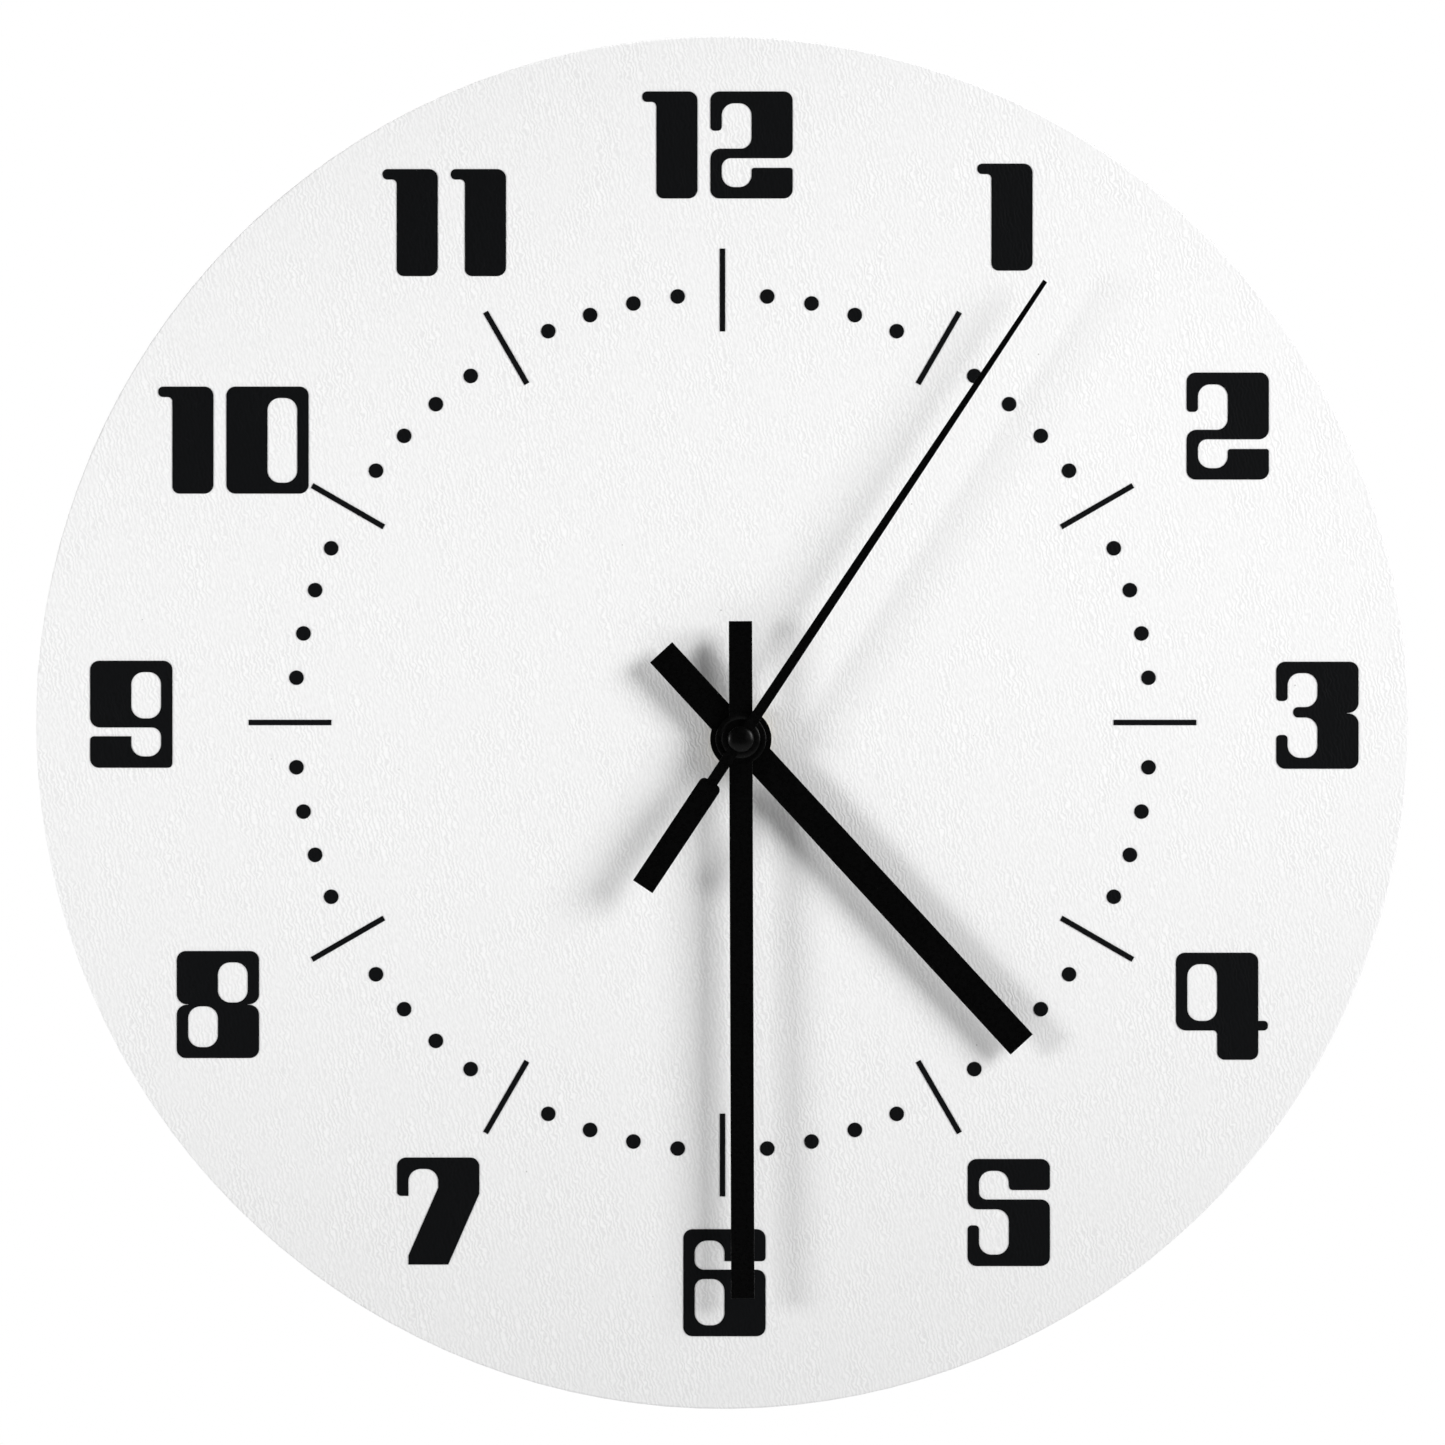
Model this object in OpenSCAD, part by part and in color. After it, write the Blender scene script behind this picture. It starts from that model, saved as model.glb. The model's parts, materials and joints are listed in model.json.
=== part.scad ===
// Frameless round wall clock with a battery quartz movement.
// The clock is drawn in its own wall frame: x to the right, y up, z out from
// the wall. as_hung() turns that frame upright, so that +Z is up, the dial
// faces -Y and the origin lies on the wall, behind the middle of the dial.

/* [Dial] */
// Diameter of the dial
dial_d = 300; // [280:5:360]
// Thickness of the board
board_t = 4; // [3:0.5:6]
// Thickness of the printed face sheet
face_t = 0.5; // [0.3:0.1:1]
// Bevel on the rim of the board and of the face sheet
rim_bevel = 0.3; // [0.1:0.05:0.4]
// Arbor to the right of the middle of the dial
arbor_x = 4; // [-6:0.5:6]
// Arbor above the middle of the dial
arbor_y = -3.6; // [-6:0.2:6]

/* [Print] */
// Thickness of the printed ink
ink_t = 0.15; // [0.1:0.05:0.3]
// Height of a numeral
digit_h = 23.4; // [18:0.2:26]
// Gap between the two digits of 10, 11 and 12
digit_gap = 2.8; // [2:0.2:4]
// Radius of the circle of minute dots
dot_ring_r = 93.6; // [80:0.2:100]
// Diameter of a minute dot
dot_d = 3.2; // [2:0.2:5]
// Radius of the middle of the hour ticks
tick_ring_r = 94.5; // [80:0.5:100]
// Length of an hour tick
tick_len = 18.1; // [10:0.1:20]
// Width of an hour tick
tick_w = 1.2; // [0.8:0.1:2.5]

/* [Hands] */
// Thickness of the hand sheet
hand_t = 0.5; // [0.4:0.1:0.8]
// Hour hand, arbor to tip
hour_tip = 90.5; // [70:0.5:100]
// Hour hand, arbor to tail
hour_tail = 25.7; // [15:0.1:35]
// Width of the hour hand
hour_w = 6.6; // [4:0.2:9]
// Clock angle of the hour hand at rest
hour_at = 137.4; // [0:0.2:360]
// Minute hand, arbor to tip
minute_tip = 121.9; // [100:0.1:125]
// Minute hand, arbor to tail
minute_tail = 25.7; // [15:0.1:35]
// Width of the minute hand
minute_w = 5.1; // [4:0.1:8]
// Clock angle of the minute hand at rest
minute_at = 179.8; // [0:0.2:360]
// Second hand, arbor to tip
second_tip = 119.7; // [90:0.1:125]
// Width of the second hand at its tip
second_tip_w = 1.05; // [0.8:0.05:1.5]
// Width of the second hand beside its hub
second_root_w = 2.4; // [1.6:0.1:3]
// Clock angle of the second hand at rest
second_at = 33.6; // [0:0.2:360]
// Counterweight of the second hand, arbor to its square end
weight_end = 38.6; // [30:0.2:50]
// Counterweight of the second hand, arbor to where it starts
weight_start = 11.2; // [9:0.2:15]
// Width of the counterweight
weight_w = 5.1; // [3:0.1:8]
// Radius of the hub of the hour hand
hour_hub_r = 6.7; // [6.6:0.1:8]
// Radius of the hub of the minute hand
minute_hub_r = 5.5; // [4:0.1:6.4]
// Radius of the cap of the second hand
second_cap_r = 2.8; // [2.2:0.1:3.6]

/* [Movement case] */
// Width of the movement
case_w = 56; // [56:1:70]
// Wall of the rear case
case_wall = 1.5; // [1.5:0.1:2]
// Thickness of the rear wall
back_t = 1.2; // [1.2:0.1:1.5]
// Thickness of the front cover
lid_t = 1.2; // [1:0.1:1.5]
// Radius of the case corners
case_r = 4; // [2:0.5:6]
// Diameter of the battery
cell_d = 14.5; // [12:0.1:18]
// Length of the battery, contact to contact
cell_len = 50.5; // [40:0.5:50.5]
// Outer radius of the threaded neck
neck_r = 4; // [3.4:0.1:4.8]

/* [Arbors] */
// Radius of the second hand's arbor
second_r = 0.5; // [0.4:0.05:0.6]
// Radius of the rotor, intermediate and third arbors
pivot_r = 0.35; // [0.25:0.05:0.4]
// Outer radius of the minute pipe
minute_pipe_r = 1.6; // [1.4:0.05:1.7]
// Outer radius of the hour pipe
hour_pipe_r = 2.6; // [2.4:0.05:2.7]

/* [Gears] */
// Tooth size of the rotor stage, millimetres per tooth of diameter
rotor_m = 0.24; // [0.22:0.01:0.25]
// Tooth size of the intermediate stage
middle_m = 0.26; // [0.25:0.01:0.27]
// Tooth size of the third wheel stage
third_m = 0.3; // [0.29:0.01:0.31]
// Tooth size of the minute stage of the motion work
motion_m = 0.4; // [0.38:0.01:0.48]
// Clearance taken off the thickness of each tooth
tooth_slack = 0.06; // [0.04:0.01:0.08]

/* [Hanger] */
// Height of the hanger above the middle of the dial
hanger_y = 112; // [80:2:115]
// Thickness of the hanger sheet
hanger_t = 1; // [0.8:0.1:1.5]
// Height of the hanger strip
hanger_h = 17; // [14:1:20]
// Width of the hanger strip
hanger_w = 44; // [40:2:60]
// Room for the head of the wall screw between hanger and board
head_room = 3.2; // [2.5:0.1:4]
// Radius of the hole that passes the head of the wall screw
keyhole_r = 4.2; // [3.8:0.1:4.5]
// Width of the slot that takes the neck of the wall screw
slot_w = 4; // [3.5:0.1:4.5]

/* [Fits] */
// Radial clearance of an arbor in its bearing
running = 0.05; // [0.03:0.01:0.08]
// Radial clearance of a pressed piece on its seat
pressed = 0.02; // [0.01:0.01:0.03]
// Gap between pieces that pass each other
apart = 0.3; // [0.3:0.05:0.4]

/* [Hidden] */
$fn = 64;
rim_fn = 288;
cut = 0.1;      // how far a cutting shape stands past the face it cuts

// Tooth counts, chosen for 30 turns of the rotor to one of the second hand,
// 60 turns of the second hand to one of the centre wheel and 12 turns of the
// minute hand to one of the hour hand
rotor_n = 10;
intermediate_n = 50;
intermediate_pinion_n = 10;
second_n = 60;
second_pinion_n = 8;
third_n = 60;
third_pinion_n = 10;
centre_n = 80;
cannon_n = 12;
motion_n = 36;
motion_pinion_n = 12;
hour_n = 48;
setting_n = 12;

// Distances between arbors; the second tooth size of a coaxial pair follows
intermediate_off = middle_m * (second_n + intermediate_pinion_n) / 2;
rotor_off = rotor_m * (intermediate_n + rotor_n) / 2;
third_off = third_m * (second_pinion_n + third_n) / 2;
centre_m = 2 * third_off / (third_pinion_n + centre_n);
motion_off = motion_m * (cannon_n + motion_n) / 2;
hour_m = 2 * motion_off / (motion_pinion_n + hour_n);
setting_off = motion_m * (motion_n + setting_n) / 2;

// Directions between arbors, in degrees from the right
intermediate_dir = 180;
rotor_dir = 120;
third_dir = 35;
motion_dir = 100;
setting_dir = 60;
intermediate_at = polar(intermediate_off, intermediate_dir);
rotor_at = intermediate_at + polar(rotor_off, rotor_dir);
third_at = polar(third_off, third_dir);
motion_at = polar(motion_off, motion_dir);
setting_at = motion_at + polar(setting_off, setting_dir);

// Gear turns at rest, so that every pair is in mesh
intermediate_pinion_turn = mesh_turn(0, second_n, intermediate_pinion_n, intermediate_dir);
rotor_turn = mesh_turn(0, intermediate_n, rotor_n, rotor_dir);
third_turn = mesh_turn(0, second_pinion_n, third_n, third_dir);
centre_turn = mesh_turn(0, third_pinion_n, centre_n, third_dir + 180);
motion_turn = mesh_turn(0, cannon_n, motion_n, motion_dir);
hour_turn = mesh_turn(0, motion_pinion_n, hour_n, motion_dir + 180);
setting_turn = mesh_turn(motion_turn, motion_n, setting_n, setting_dir);

// Radius over the tips of a gear
function tip_r(n, m) = n * m / 2 + 0.85 * m;

// Heights of the wheels above the wall
wheel_t = 0.6;
pinion_h = 1.1;
pivot_z = 0.8;
boss_z = back_t + 0.8;
intermediate_z = boss_z + 0.4;
second_z = intermediate_z + wheel_t + 0.6;
stator_z = second_z + wheel_t + 0.4;
stator_t = 0.8;
core_t = 0.8;
second_pinion_z = stator_z + stator_t + 0.4;
third_z = second_pinion_z + (pinion_h - wheel_t) / 2;
plate_z = second_pinion_z + pinion_h + 0.6;
plate_t = 1;
plate_end = plate_z + plate_t;
pipe_z = plate_end + 0.4;
flange_t = 0.25;
centre_z = pipe_z + flange_t + running;
third_pinion_z = centre_z - (pinion_h - wheel_t) / 2;
spring_t = 0.2;
spring_z = centre_z + wheel_t + apart;
cannon_z = spring_z + spring_t + running;
motion_z = cannon_z + (pinion_h - wheel_t) / 2;
motion_pinion_z = motion_z + wheel_t;
hour_z = motion_pinion_z + (pinion_h + 0.2 - wheel_t) / 2;
train_end = hour_z + wheel_t + 2.3;

// Battery bay, below the widest wheel
inner_x = case_w / 2 - case_wall;
cell_gap = 0.35;
cell_back = 0.5;
train_foot = -tip_r(centre_n, centre_m) - 1;
bay_wall = 1;
bay_top = train_foot - bay_wall;
bay_foot = bay_top - cell_d - 2 * cell_gap;
cell_y = (bay_top + bay_foot) / 2;
cell_z = cell_back + cell_d / 2;
contact_t = 0.3;

// Setting knob
knob_r = 4.2;
knob_h = 2.7;
pocket_r = knob_r + 0.5;
pocket_z = apart + knob_h + 0.2;
stem_r = 1.5;
pocket_floor_end = pocket_z + 1;

// Outline of the case: the top clears the setting knob and the circuit board
pcb_arm = 2.3;
inner_y = max(case_w / 2 - case_wall, setting_at[1] + pocket_r + 1.4 + pcb_arm + apart);
case_top = inner_y + case_wall;
case_foot = bay_foot - case_wall;
lid_z = max(cell_z + cell_d / 2 + apart, train_end);
case_d = lid_z + lid_t;

// Layers from the case outwards
washer_t = 1;
board_z = case_d + washer_t;
face_z = board_z + board_t;
print_z = face_z + face_t;
brass_washer_t = 0.5;
nut_z = print_z + brass_washer_t;
nut_h = 2.2;
nut_flats = 2 * neck_r + 3;
neck_end = nut_z + nut_h + apart;
collet_h = 1.3;
hour_hand_z = neck_end + apart + collet_h;
minute_hand_z = hour_hand_z + hand_t + 2 * apart + collet_h;
second_hand_z = minute_hand_z + hand_t + 2 * apart + collet_h;
neck_hole_r = neck_r + 0.2;
hour_pipe_end = hour_hand_z + hand_t + 0.2;
minute_pipe_end = minute_hand_z + hand_t + 0.2;
second_arbor_end = second_hand_z + 0.4;

// Motor
rotor_r = 3;
rotor_h = 2;
stator_left = rotor_at[0] - 13.3;
stator_right = rotor_at[0] + 8.3;
stator_leg = 4;
stator_bar = 8.1;
stator_foot = rotor_at[1] - stator_bar / 2;
stator_top = rotor_at[1] + 16.8;
core_w = 4.4;
core_neck = 2.2;
barrel_r = 1.6;
coil_r = 3.6;
coil_y = stator_top - core_w / 2;
coil_z = stator_z + stator_t + core_t / 2;
flange_w = 0.8;
coil_left = stator_left + stator_leg + flange_w + 0.5;
coil_right = stator_right - stator_leg - flange_w - 0.5;

// Posts of the rear case
post_r = 1.5;
post_x = inner_x - 1.9;
post_top = inner_y - 1.7;
post_foot = train_foot + 4.3;
peg_r = 0.7;
plate_posts = [[post_x, post_foot], [post_x, post_top], [-post_x, post_foot], [-post_x, post_top]];
stator_post_y = stator_foot + stator_bar + 2.7;
stator_posts = [[stator_left + stator_leg / 2, stator_post_y],
    [stator_right - stator_leg / 2, stator_post_y]];

// Circuit board
pcb_t = 0.8;
pcb_z = back_t + 1;
pcb_left = third_at[0] + 3.6;
pcb_right = post_x - post_r - 0.5;
pcb_foot = train_foot + apart;
pcb_top = inner_y - apart;
pcb_rail = 1.1;
pcb_posts = [[pcb_left + 2.5, pcb_foot + 3.5], [pcb_right - 2.1, pcb_top - 5.2]];

// Numerals, on a grid that is scaled to their height
grid_w = 18;
grid_h = 23.4;
stem = 9;
hair = 2.5;
soft = 2;
bowl = 2.7;
numeral_seats = [[126.5, 29.2], [128, 59.6], [130, 89.3], [125.5, 119.6], [124, 149.7],
    [122.4, 179.8], [123.5, 210.2], [126.3, 240.8], [129.2, 270.8], [123.4, 300],
    [125, 330.9], [126.2, -0.5]];

// A point at a distance and a direction
function polar(r, a) = [r * cos(a), r * sin(a)];

// Turn of a gear whose teeth meet those of another, which is turned by turn_a;
// dir is the direction from that other gear to this one
function mesh_turn(turn_a, n_a, n_b, dir) = dir + 180 - (turn_a - dir) * n_a / n_b - 180 / n_b;

// Degrees of the involute function at a pressure angle
function inv(a) = tan(a) * 180 / PI - a;

// Half the angle that an involute tooth takes at radius r
function half_tooth(n, m, r) =
    let (base = n * m / 2 * cos(20))
    90 / n - tooth_slack / (n * m) * 180 / PI + inv(20) - inv(acos(min(1, base / r)));

// Outline of a gear: n teeth of module m
function gear_outline(n, m) =
    let (
        root = n * m / 2 - 1.2 * m,
        steps = n < 20 ? 3 : 1,
        radii = [for (i = [0:steps]) root + (tip_r(n, m) - root) * i / steps]
    )
    [for (t = [0:n - 1]) each concat(
        [for (i = [0:steps]) polar(radii[i], 360 * t / n - half_tooth(n, m, radii[i]))],
        [for (i = [steps:-1:0]) polar(radii[i], 360 * t / n + half_tooth(n, m, radii[i]))])];

// Turns the wall frame upright, as the clock hangs
module as_hung() { rotate([90, 0, 0]) children(); }

// The wall frame with the arbor as its middle
module at_arbor() { as_hung() translate([arbor_x, arbor_y, 0]) children(); }

// Takes a square corner at the origin off to radius r
module corner_cut(r) {
    difference() {
        translate([-cut, -cut]) square(r + cut);
        translate([r, r]) circle(r);
    }
}

// Rectangle from the origin with corner radii: top left, top right, bottom right, bottom left
module round_rect(w, h, r) {
    difference() {
        square([w, h]);
        if (r[0] > 0) translate([0, h]) mirror([0, 1]) corner_cut(r[0]);
        if (r[1] > 0) translate([w, h]) mirror([0, 1]) mirror([1, 0]) corner_cut(r[1]);
        if (r[2] > 0) translate([w, 0]) mirror([1, 0]) corner_cut(r[2]);
        if (r[3] > 0) corner_cut(r[3]);
    }
}

// Outline of the movement case
module case_outline() {
    translate([-case_w / 2, case_foot])
        round_rect(case_w, case_top - case_foot, [case_r, case_r, case_r, case_r]);
}

// Cylinder that stands from z0 to z1 at a point
module post(at, r, z0, z1) { translate([at[0], at[1], z0]) cylinder(r = r, h = z1 - z0); }

// Disc with bevelled rims and a round hole
module bevelled_disc(r, hole_at, hole_r, z0, z1, bevel_back, bevel_front) {
    difference() {
        rotate_extrude($fn = rim_fn)
            polygon([[0, z0], [r - bevel_back, z0], [r, z0 + bevel_back],
                [r, z1 - bevel_front], [r - bevel_front, z1], [0, z1]]);
        post(hole_at, hole_r, z0 - cut, z1 + cut);
    }
}

// Ring between two radii and two heights
module ring(outer_r, inner_r, z0, z1) {
    difference() {
        post([0, 0], outer_r, z0, z1);
        post([0, 0], inner_r, z0 - cut, z1 + cut);
    }
}

// Toothed disc
module gear(n, m, z0, h, turn) {
    translate([0, 0, z0]) rotate([0, 0, turn]) linear_extrude(h) polygon(gear_outline(n, m));
}

// Twelve-sided sleeve of a moulded wheel
module sleeve(r, z0, z1) { translate([0, 0, z0]) cylinder(r = r, h = z1 - z0, $fn = 12); }

// Twelve-sided hole that clears a round arbor of radius r
module arbor_hole(r, z0, z1) {
    translate([0, 0, z0 - cut])
        cylinder(r = (r + pressed) / cos(15), h = z1 - z0 + 2 * cut, $fn = 12);
}

// ---- Dial ----

module dial_board() {
    color("saddlebrown") as_hung() difference() {
        bevelled_disc(dial_d / 2, [arbor_x, arbor_y], neck_hole_r,
            board_z, face_z, rim_bevel, 0);
        for (x = hanger_screw_x)
            post([x, hanger_y], hanger_screw_r + pressed, board_z - cut, board_z + pilot_depth);
    }
}

module dial_face() {
    color("whitesmoke") as_hung() bevelled_disc(dial_d / 2, [arbor_x, arbor_y], neck_hole_r,
        face_z, print_z, 0, rim_bevel);
}

// Part of a digit, measured right from its left side and down from its top
module pad(x0, x1, top, bottom, r = [0, 0, 0, 0]) {
    translate([x0, grid_h - bottom]) round_rect(x1 - x0, bottom - top, r);
}

// Counters beside a heavy right stem and beside a heavy left stem
module left_counter(top, bottom, r) { pad(hair, grid_w - stem, top, bottom, r); }
module right_counter(top, bottom, r) { pad(stem, grid_w - hair, top, bottom, r); }

module digit_0() {
    difference() {
        pad(0, grid_w, 0, grid_h, [soft, soft, soft, soft]);
        right_counter(2.5, 21, [bowl, bowl, bowl, bowl]);
    }
}

module digit_1() {
    flag = 3.1;
    pad(0, flag + soft, 0, 2.3, [1.1, 0, 0, 1.1]);
    pad(flag, flag + stem, 0, grid_h, [0, soft, soft, 1.6]);
    difference() {
        pad(flag - 1, flag + 1, 2, 3.3);
        pad(flag - 2, flag, 2.3, 4.3, [0, 1, 0, 0]);
    }
}

module digit_2() {
    difference() {
        pad(0, grid_w, 0, 14.6, [soft, soft, 2.2, 0]);
        left_counter(2.6, 12.5, [bowl, bowl, 2.4, 0]);
        pad(-1, hair + 0.1, 7.6, 12.5);
        pad(-1, 2.2, 12.4, 14.7);
    }
    pad(0, hair, 7, 8.6, [0, 0, 0.9, 0.9]);
    difference() {
        pad(0, grid_w, 12.5, grid_h, [2.2, 0, soft, soft]);
        left_counter(14.6, 20.9, [soft, 0, bowl, bowl]);
        pad(8.5, grid_w + 1, 14.6, 16.7, [0, 0, 0, 0]);
        pad(stem + 6.8, grid_w + 1, 12, 14.7);
        translate([grid_w, grid_h - 16.7]) mirror([0, 1]) mirror([1, 0]) corner_cut(0.6);
        translate([grid_w - stem, grid_h - 16.7]) mirror([0, 1]) corner_cut(0.6);
    }
}

module digit_3() {
    difference() {
        union() {
            pad(0, grid_w, 0, 11.2, [soft, soft, 2.3, 0]);
            pad(0, grid_w, 11.3, grid_h, [0, 2.3, soft, soft]);
            pad(stem, grid_w - 2.6, 11, 12);
        }
        left_counter(2.5, 9.9, [bowl, bowl, bowl, 0]);
        left_counter(12.2, 21, [0, bowl, bowl, bowl]);
        pad(-1, hair + 0.1, 7.6, 17);
        pad(hair - 0.1, 5, 9.5, 12.6);
    }
    pad(0, hair, 7, 8.6, [0, 0, 0.9, 0.9]);
    pad(0, hair, 16, 18, [0.9, 0.9, 0, 0]);
    pad(3.7, stem + 1, 9.9, 12.2, [1.1, 0, 0, 1.1]);
}

module digit_4() {
    difference() {
        pad(0, grid_w, 0, 17, [soft, soft, 0, 2.2]);
        left_counter(2.5, 14.9, [bowl, bowl, bowl, bowl]);
    }
    pad(grid_w - stem, grid_w, 16, grid_h, [0, 0, 1.7, 1.7]);
    pad(grid_w - 1, grid_w + 2.1, 14.9, 17, [0, 0.9, 0.9, 0]);
    difference() {
        pad(stem - 1, stem + 1, 16.5, 17.9);
        pad(stem - 2, stem, 17, 18.9, [0, 0.9, 0, 0]);
    }
}

module digit_5() {
    difference() {
        pad(0, grid_w, 0, grid_h, [soft, soft, soft, soft]);
        left_counter(2.6, 8.85, [bowl, bowl, 0, 1.7]);
        pad(stem - 1, grid_w + 1, 6.8, 8.85);
        left_counter(11, 20.9, [0, bowl, bowl, bowl]);
        pad(-1, hair + 0.1, 11, 15.5);
        translate([0, grid_h - 11]) corner_cut(2.2);
        translate([grid_w, grid_h - 6.8]) mirror([1, 0]) corner_cut(0.9);
        translate([grid_w - stem, grid_h - 6.8]) corner_cut(0.9);
        translate([grid_w, grid_h - 8.85]) mirror([0, 1]) mirror([1, 0]) corner_cut(soft);
    }
    pad(0, hair, 14.5, 17, [0.9, 0.9, 0, 0]);
}

module digit_6() {
    difference() {
        pad(0, grid_w, 0, grid_h, [soft, soft, soft, soft]);
        left_counter(2.5, 8.85, [bowl, bowl, 0, soft]);
        pad(stem - 1, grid_w + 1, 7, 8.85);
        left_counter(10.9, 21, [soft, bowl, bowl, bowl]);
        translate([grid_w, grid_h - 8.85]) mirror([0, 1]) mirror([1, 0]) corner_cut(soft);
        translate([grid_w, grid_h - 7]) mirror([1, 0]) corner_cut(0.9);
    }
}

module digit_7() {
    difference() {
        translate([0, grid_h]) mirror([0, 1]) polygon([[0, 0], [grid_w, 0], [grid_w, 7.9],
            [11.2, grid_h], [hair, grid_h], [hair, 21.4], [stem, 6.6], [stem, 2.5],
            [hair, 2.5], [hair, 8.4], [0, 8.4]]);
        translate([0, grid_h]) mirror([0, 1]) corner_cut(soft);
        translate([grid_w, grid_h]) mirror([0, 1]) mirror([1, 0]) corner_cut(soft);
        translate([0, grid_h - 8.4]) corner_cut(0.9);
    }
    difference() {
        pad(hair - 0.5, hair + 3, 2, 5.5);
        pad(hair, hair + 4, 2.5, 6.5, [bowl, 0, 0, 0]);
    }
    difference() {
        pad(stem - 3, stem + 0.5, 2, 5.5);
        pad(stem - 4, stem, 2.5, 6.5, [0, bowl, 0, 0]);
    }
}

module digit_8() {
    difference() {
        union() {
            pad(0, grid_w, 0, 11.65, [soft, soft, 2.2, 2.2]);
            pad(0, grid_w, 11.75, grid_h, [2.2, 2.2, soft, soft]);
            pad(2.5, grid_w - 2.5, 11, 12.4);
        }
        right_counter(2.5, 11.25, [bowl, bowl, bowl, bowl]);
        left_counter(12.1, 21, [bowl, bowl, bowl, bowl]);
    }
}

module digit_9() {
    difference() {
        pad(0, grid_w, 0, grid_h, [soft, soft, 1, soft]);
        right_counter(2.5, 12.6, [bowl, bowl, bowl, bowl]);
        pad(-1, stem + 1, 14.6, 16.5);
        right_counter(14.6, 20.9, [0, soft, bowl, bowl]);
        translate([0, grid_h - 14.6]) corner_cut(2.2);
        translate([0, grid_h - 16.5]) mirror([0, 1]) corner_cut(0.9);
    }
}

// Width that a digit takes on the grid
function digit_w(n) = n == 1 ? 12.1 : n == 4 ? 20.1 : grid_w;

module digit(n) {
    if (n == 0) digit_0();
    if (n == 1) digit_1();
    if (n == 2) digit_2();
    if (n == 3) digit_3();
    if (n == 4) digit_4();
    if (n == 5) digit_5();
    if (n == 6) digit_6();
    if (n == 7) digit_7();
    if (n == 8) digit_8();
    if (n == 9) digit_9();
}

// Numeral of an hour about the origin, upright
module numeral(hour) {
    digits = hour < 10 ? [hour] : [1, hour - 10];
    widths = [for (n = digits) digit_w(n)];
    gap = digit_gap * grid_h / digit_h;
    total = hour < 10 ? widths[0] : widths[0] + gap + widths[1];
    scale(digit_h / grid_h) translate([-total / 2, -grid_h / 2]) {
        digit(digits[0]);
        if (hour > 9) translate([widths[0] + gap, 0]) digit(digits[1]);
    }
}

module numerals() {
    color("#151515") as_hung() for (hour = [1:12])
        let (seat = numeral_seats[hour - 1])
        translate(concat(polar(seat[0], 90 - seat[1]), [print_z]))
            linear_extrude(ink_t) numeral(hour);
}

module hour_ticks() {
    color("#151515") as_hung() for (hour = [1:12]) rotate([0, 0, -30 * hour])
        translate([-tick_w / 2, tick_ring_r - tick_len / 2, print_z])
            cube([tick_w, tick_len, ink_t]);
}

module minute_dots() {
    color("#151515") as_hung() for (minute = [0:59]) if (minute % 5 != 0)
        post(polar(dot_ring_r, 6 * minute), dot_d / 2, print_z, print_z + ink_t);
}

// ---- Hanger ----

hanger_raise = head_room + hanger_t;
ear_w = 10;
ramp_w = 3;
hanger_screw_r = 1.2;
hanger_screw_x = [-1, 1] * (hanger_w / 2 - ear_w / 2);
screw_head_r = 2.6;
screw_head_h = 1.3;
pilot_depth = board_t - 0.7;
keyhole_y = -2.6;
slot_top = 5.2;

// Half of the hanger's bent section, from the middle of the strip outwards
function hanger_half(s) = [[s * (hanger_w / 2 - ear_w - ramp_w), -hanger_raise],
    [s * (hanger_w / 2 - ear_w), -hanger_t], [s * hanger_w / 2, -hanger_t], [s * hanger_w / 2, 0],
    [s * (hanger_w / 2 - ear_w - 0.4), 0],
    [s * (hanger_w / 2 - ear_w - ramp_w - 0.4), -head_room]];

module hanger_plate() {
    color("silver") as_hung() translate([0, hanger_y, board_z]) difference() {
        translate([0, hanger_h / 2, 0]) rotate([90, 0, 0]) linear_extrude(hanger_h)
            polygon(concat(hanger_half(1), [for (i = [5:-1:0]) hanger_half(-1)[i]]));
        post([0, keyhole_y], keyhole_r, -hanger_raise - cut, -head_room + cut);
        post([0, slot_top], slot_w / 2, -hanger_raise - cut, -head_room + cut);
        translate([-slot_w / 2, keyhole_y, -hanger_raise - cut])
            cube([slot_w, slot_top - keyhole_y, hanger_t + 2 * cut]);
        for (x = hanger_screw_x) post([x, 0], hanger_screw_r + 0.2, -hanger_t - cut, cut);
    }
}

module hanger_screws() {
    color("gold") as_hung() translate([0, hanger_y, board_z]) for (x = hanger_screw_x)
        difference() {
            union() {
                post([x, 0], screw_head_r, -hanger_t - screw_head_h, -hanger_t);
                post([x, 0], hanger_screw_r, -hanger_t, pilot_depth - 0.3);
            }
            for (turn = [0, 90]) translate([x, 0, -hanger_t - screw_head_h]) rotate(turn)
                cube([3, 0.7, 1.4], center = true);
        }
}

// ---- Movement case ----

snap_w = 6;
snap_t = 0.8;
snap_h = 5;
// Heights of the snap tabs on the two sides of the case
side_snaps = [12, -14];

// Where the snap tabs sit, with the outer face of the wall as y = 0
module snap_places() {
    translate([0, case_top, 0]) children();
    for (side = [-1, 1], y = side_snaps)
        translate([side * case_w / 2, y, 0]) rotate([0, 0, -90 * side]) children();
}

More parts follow.
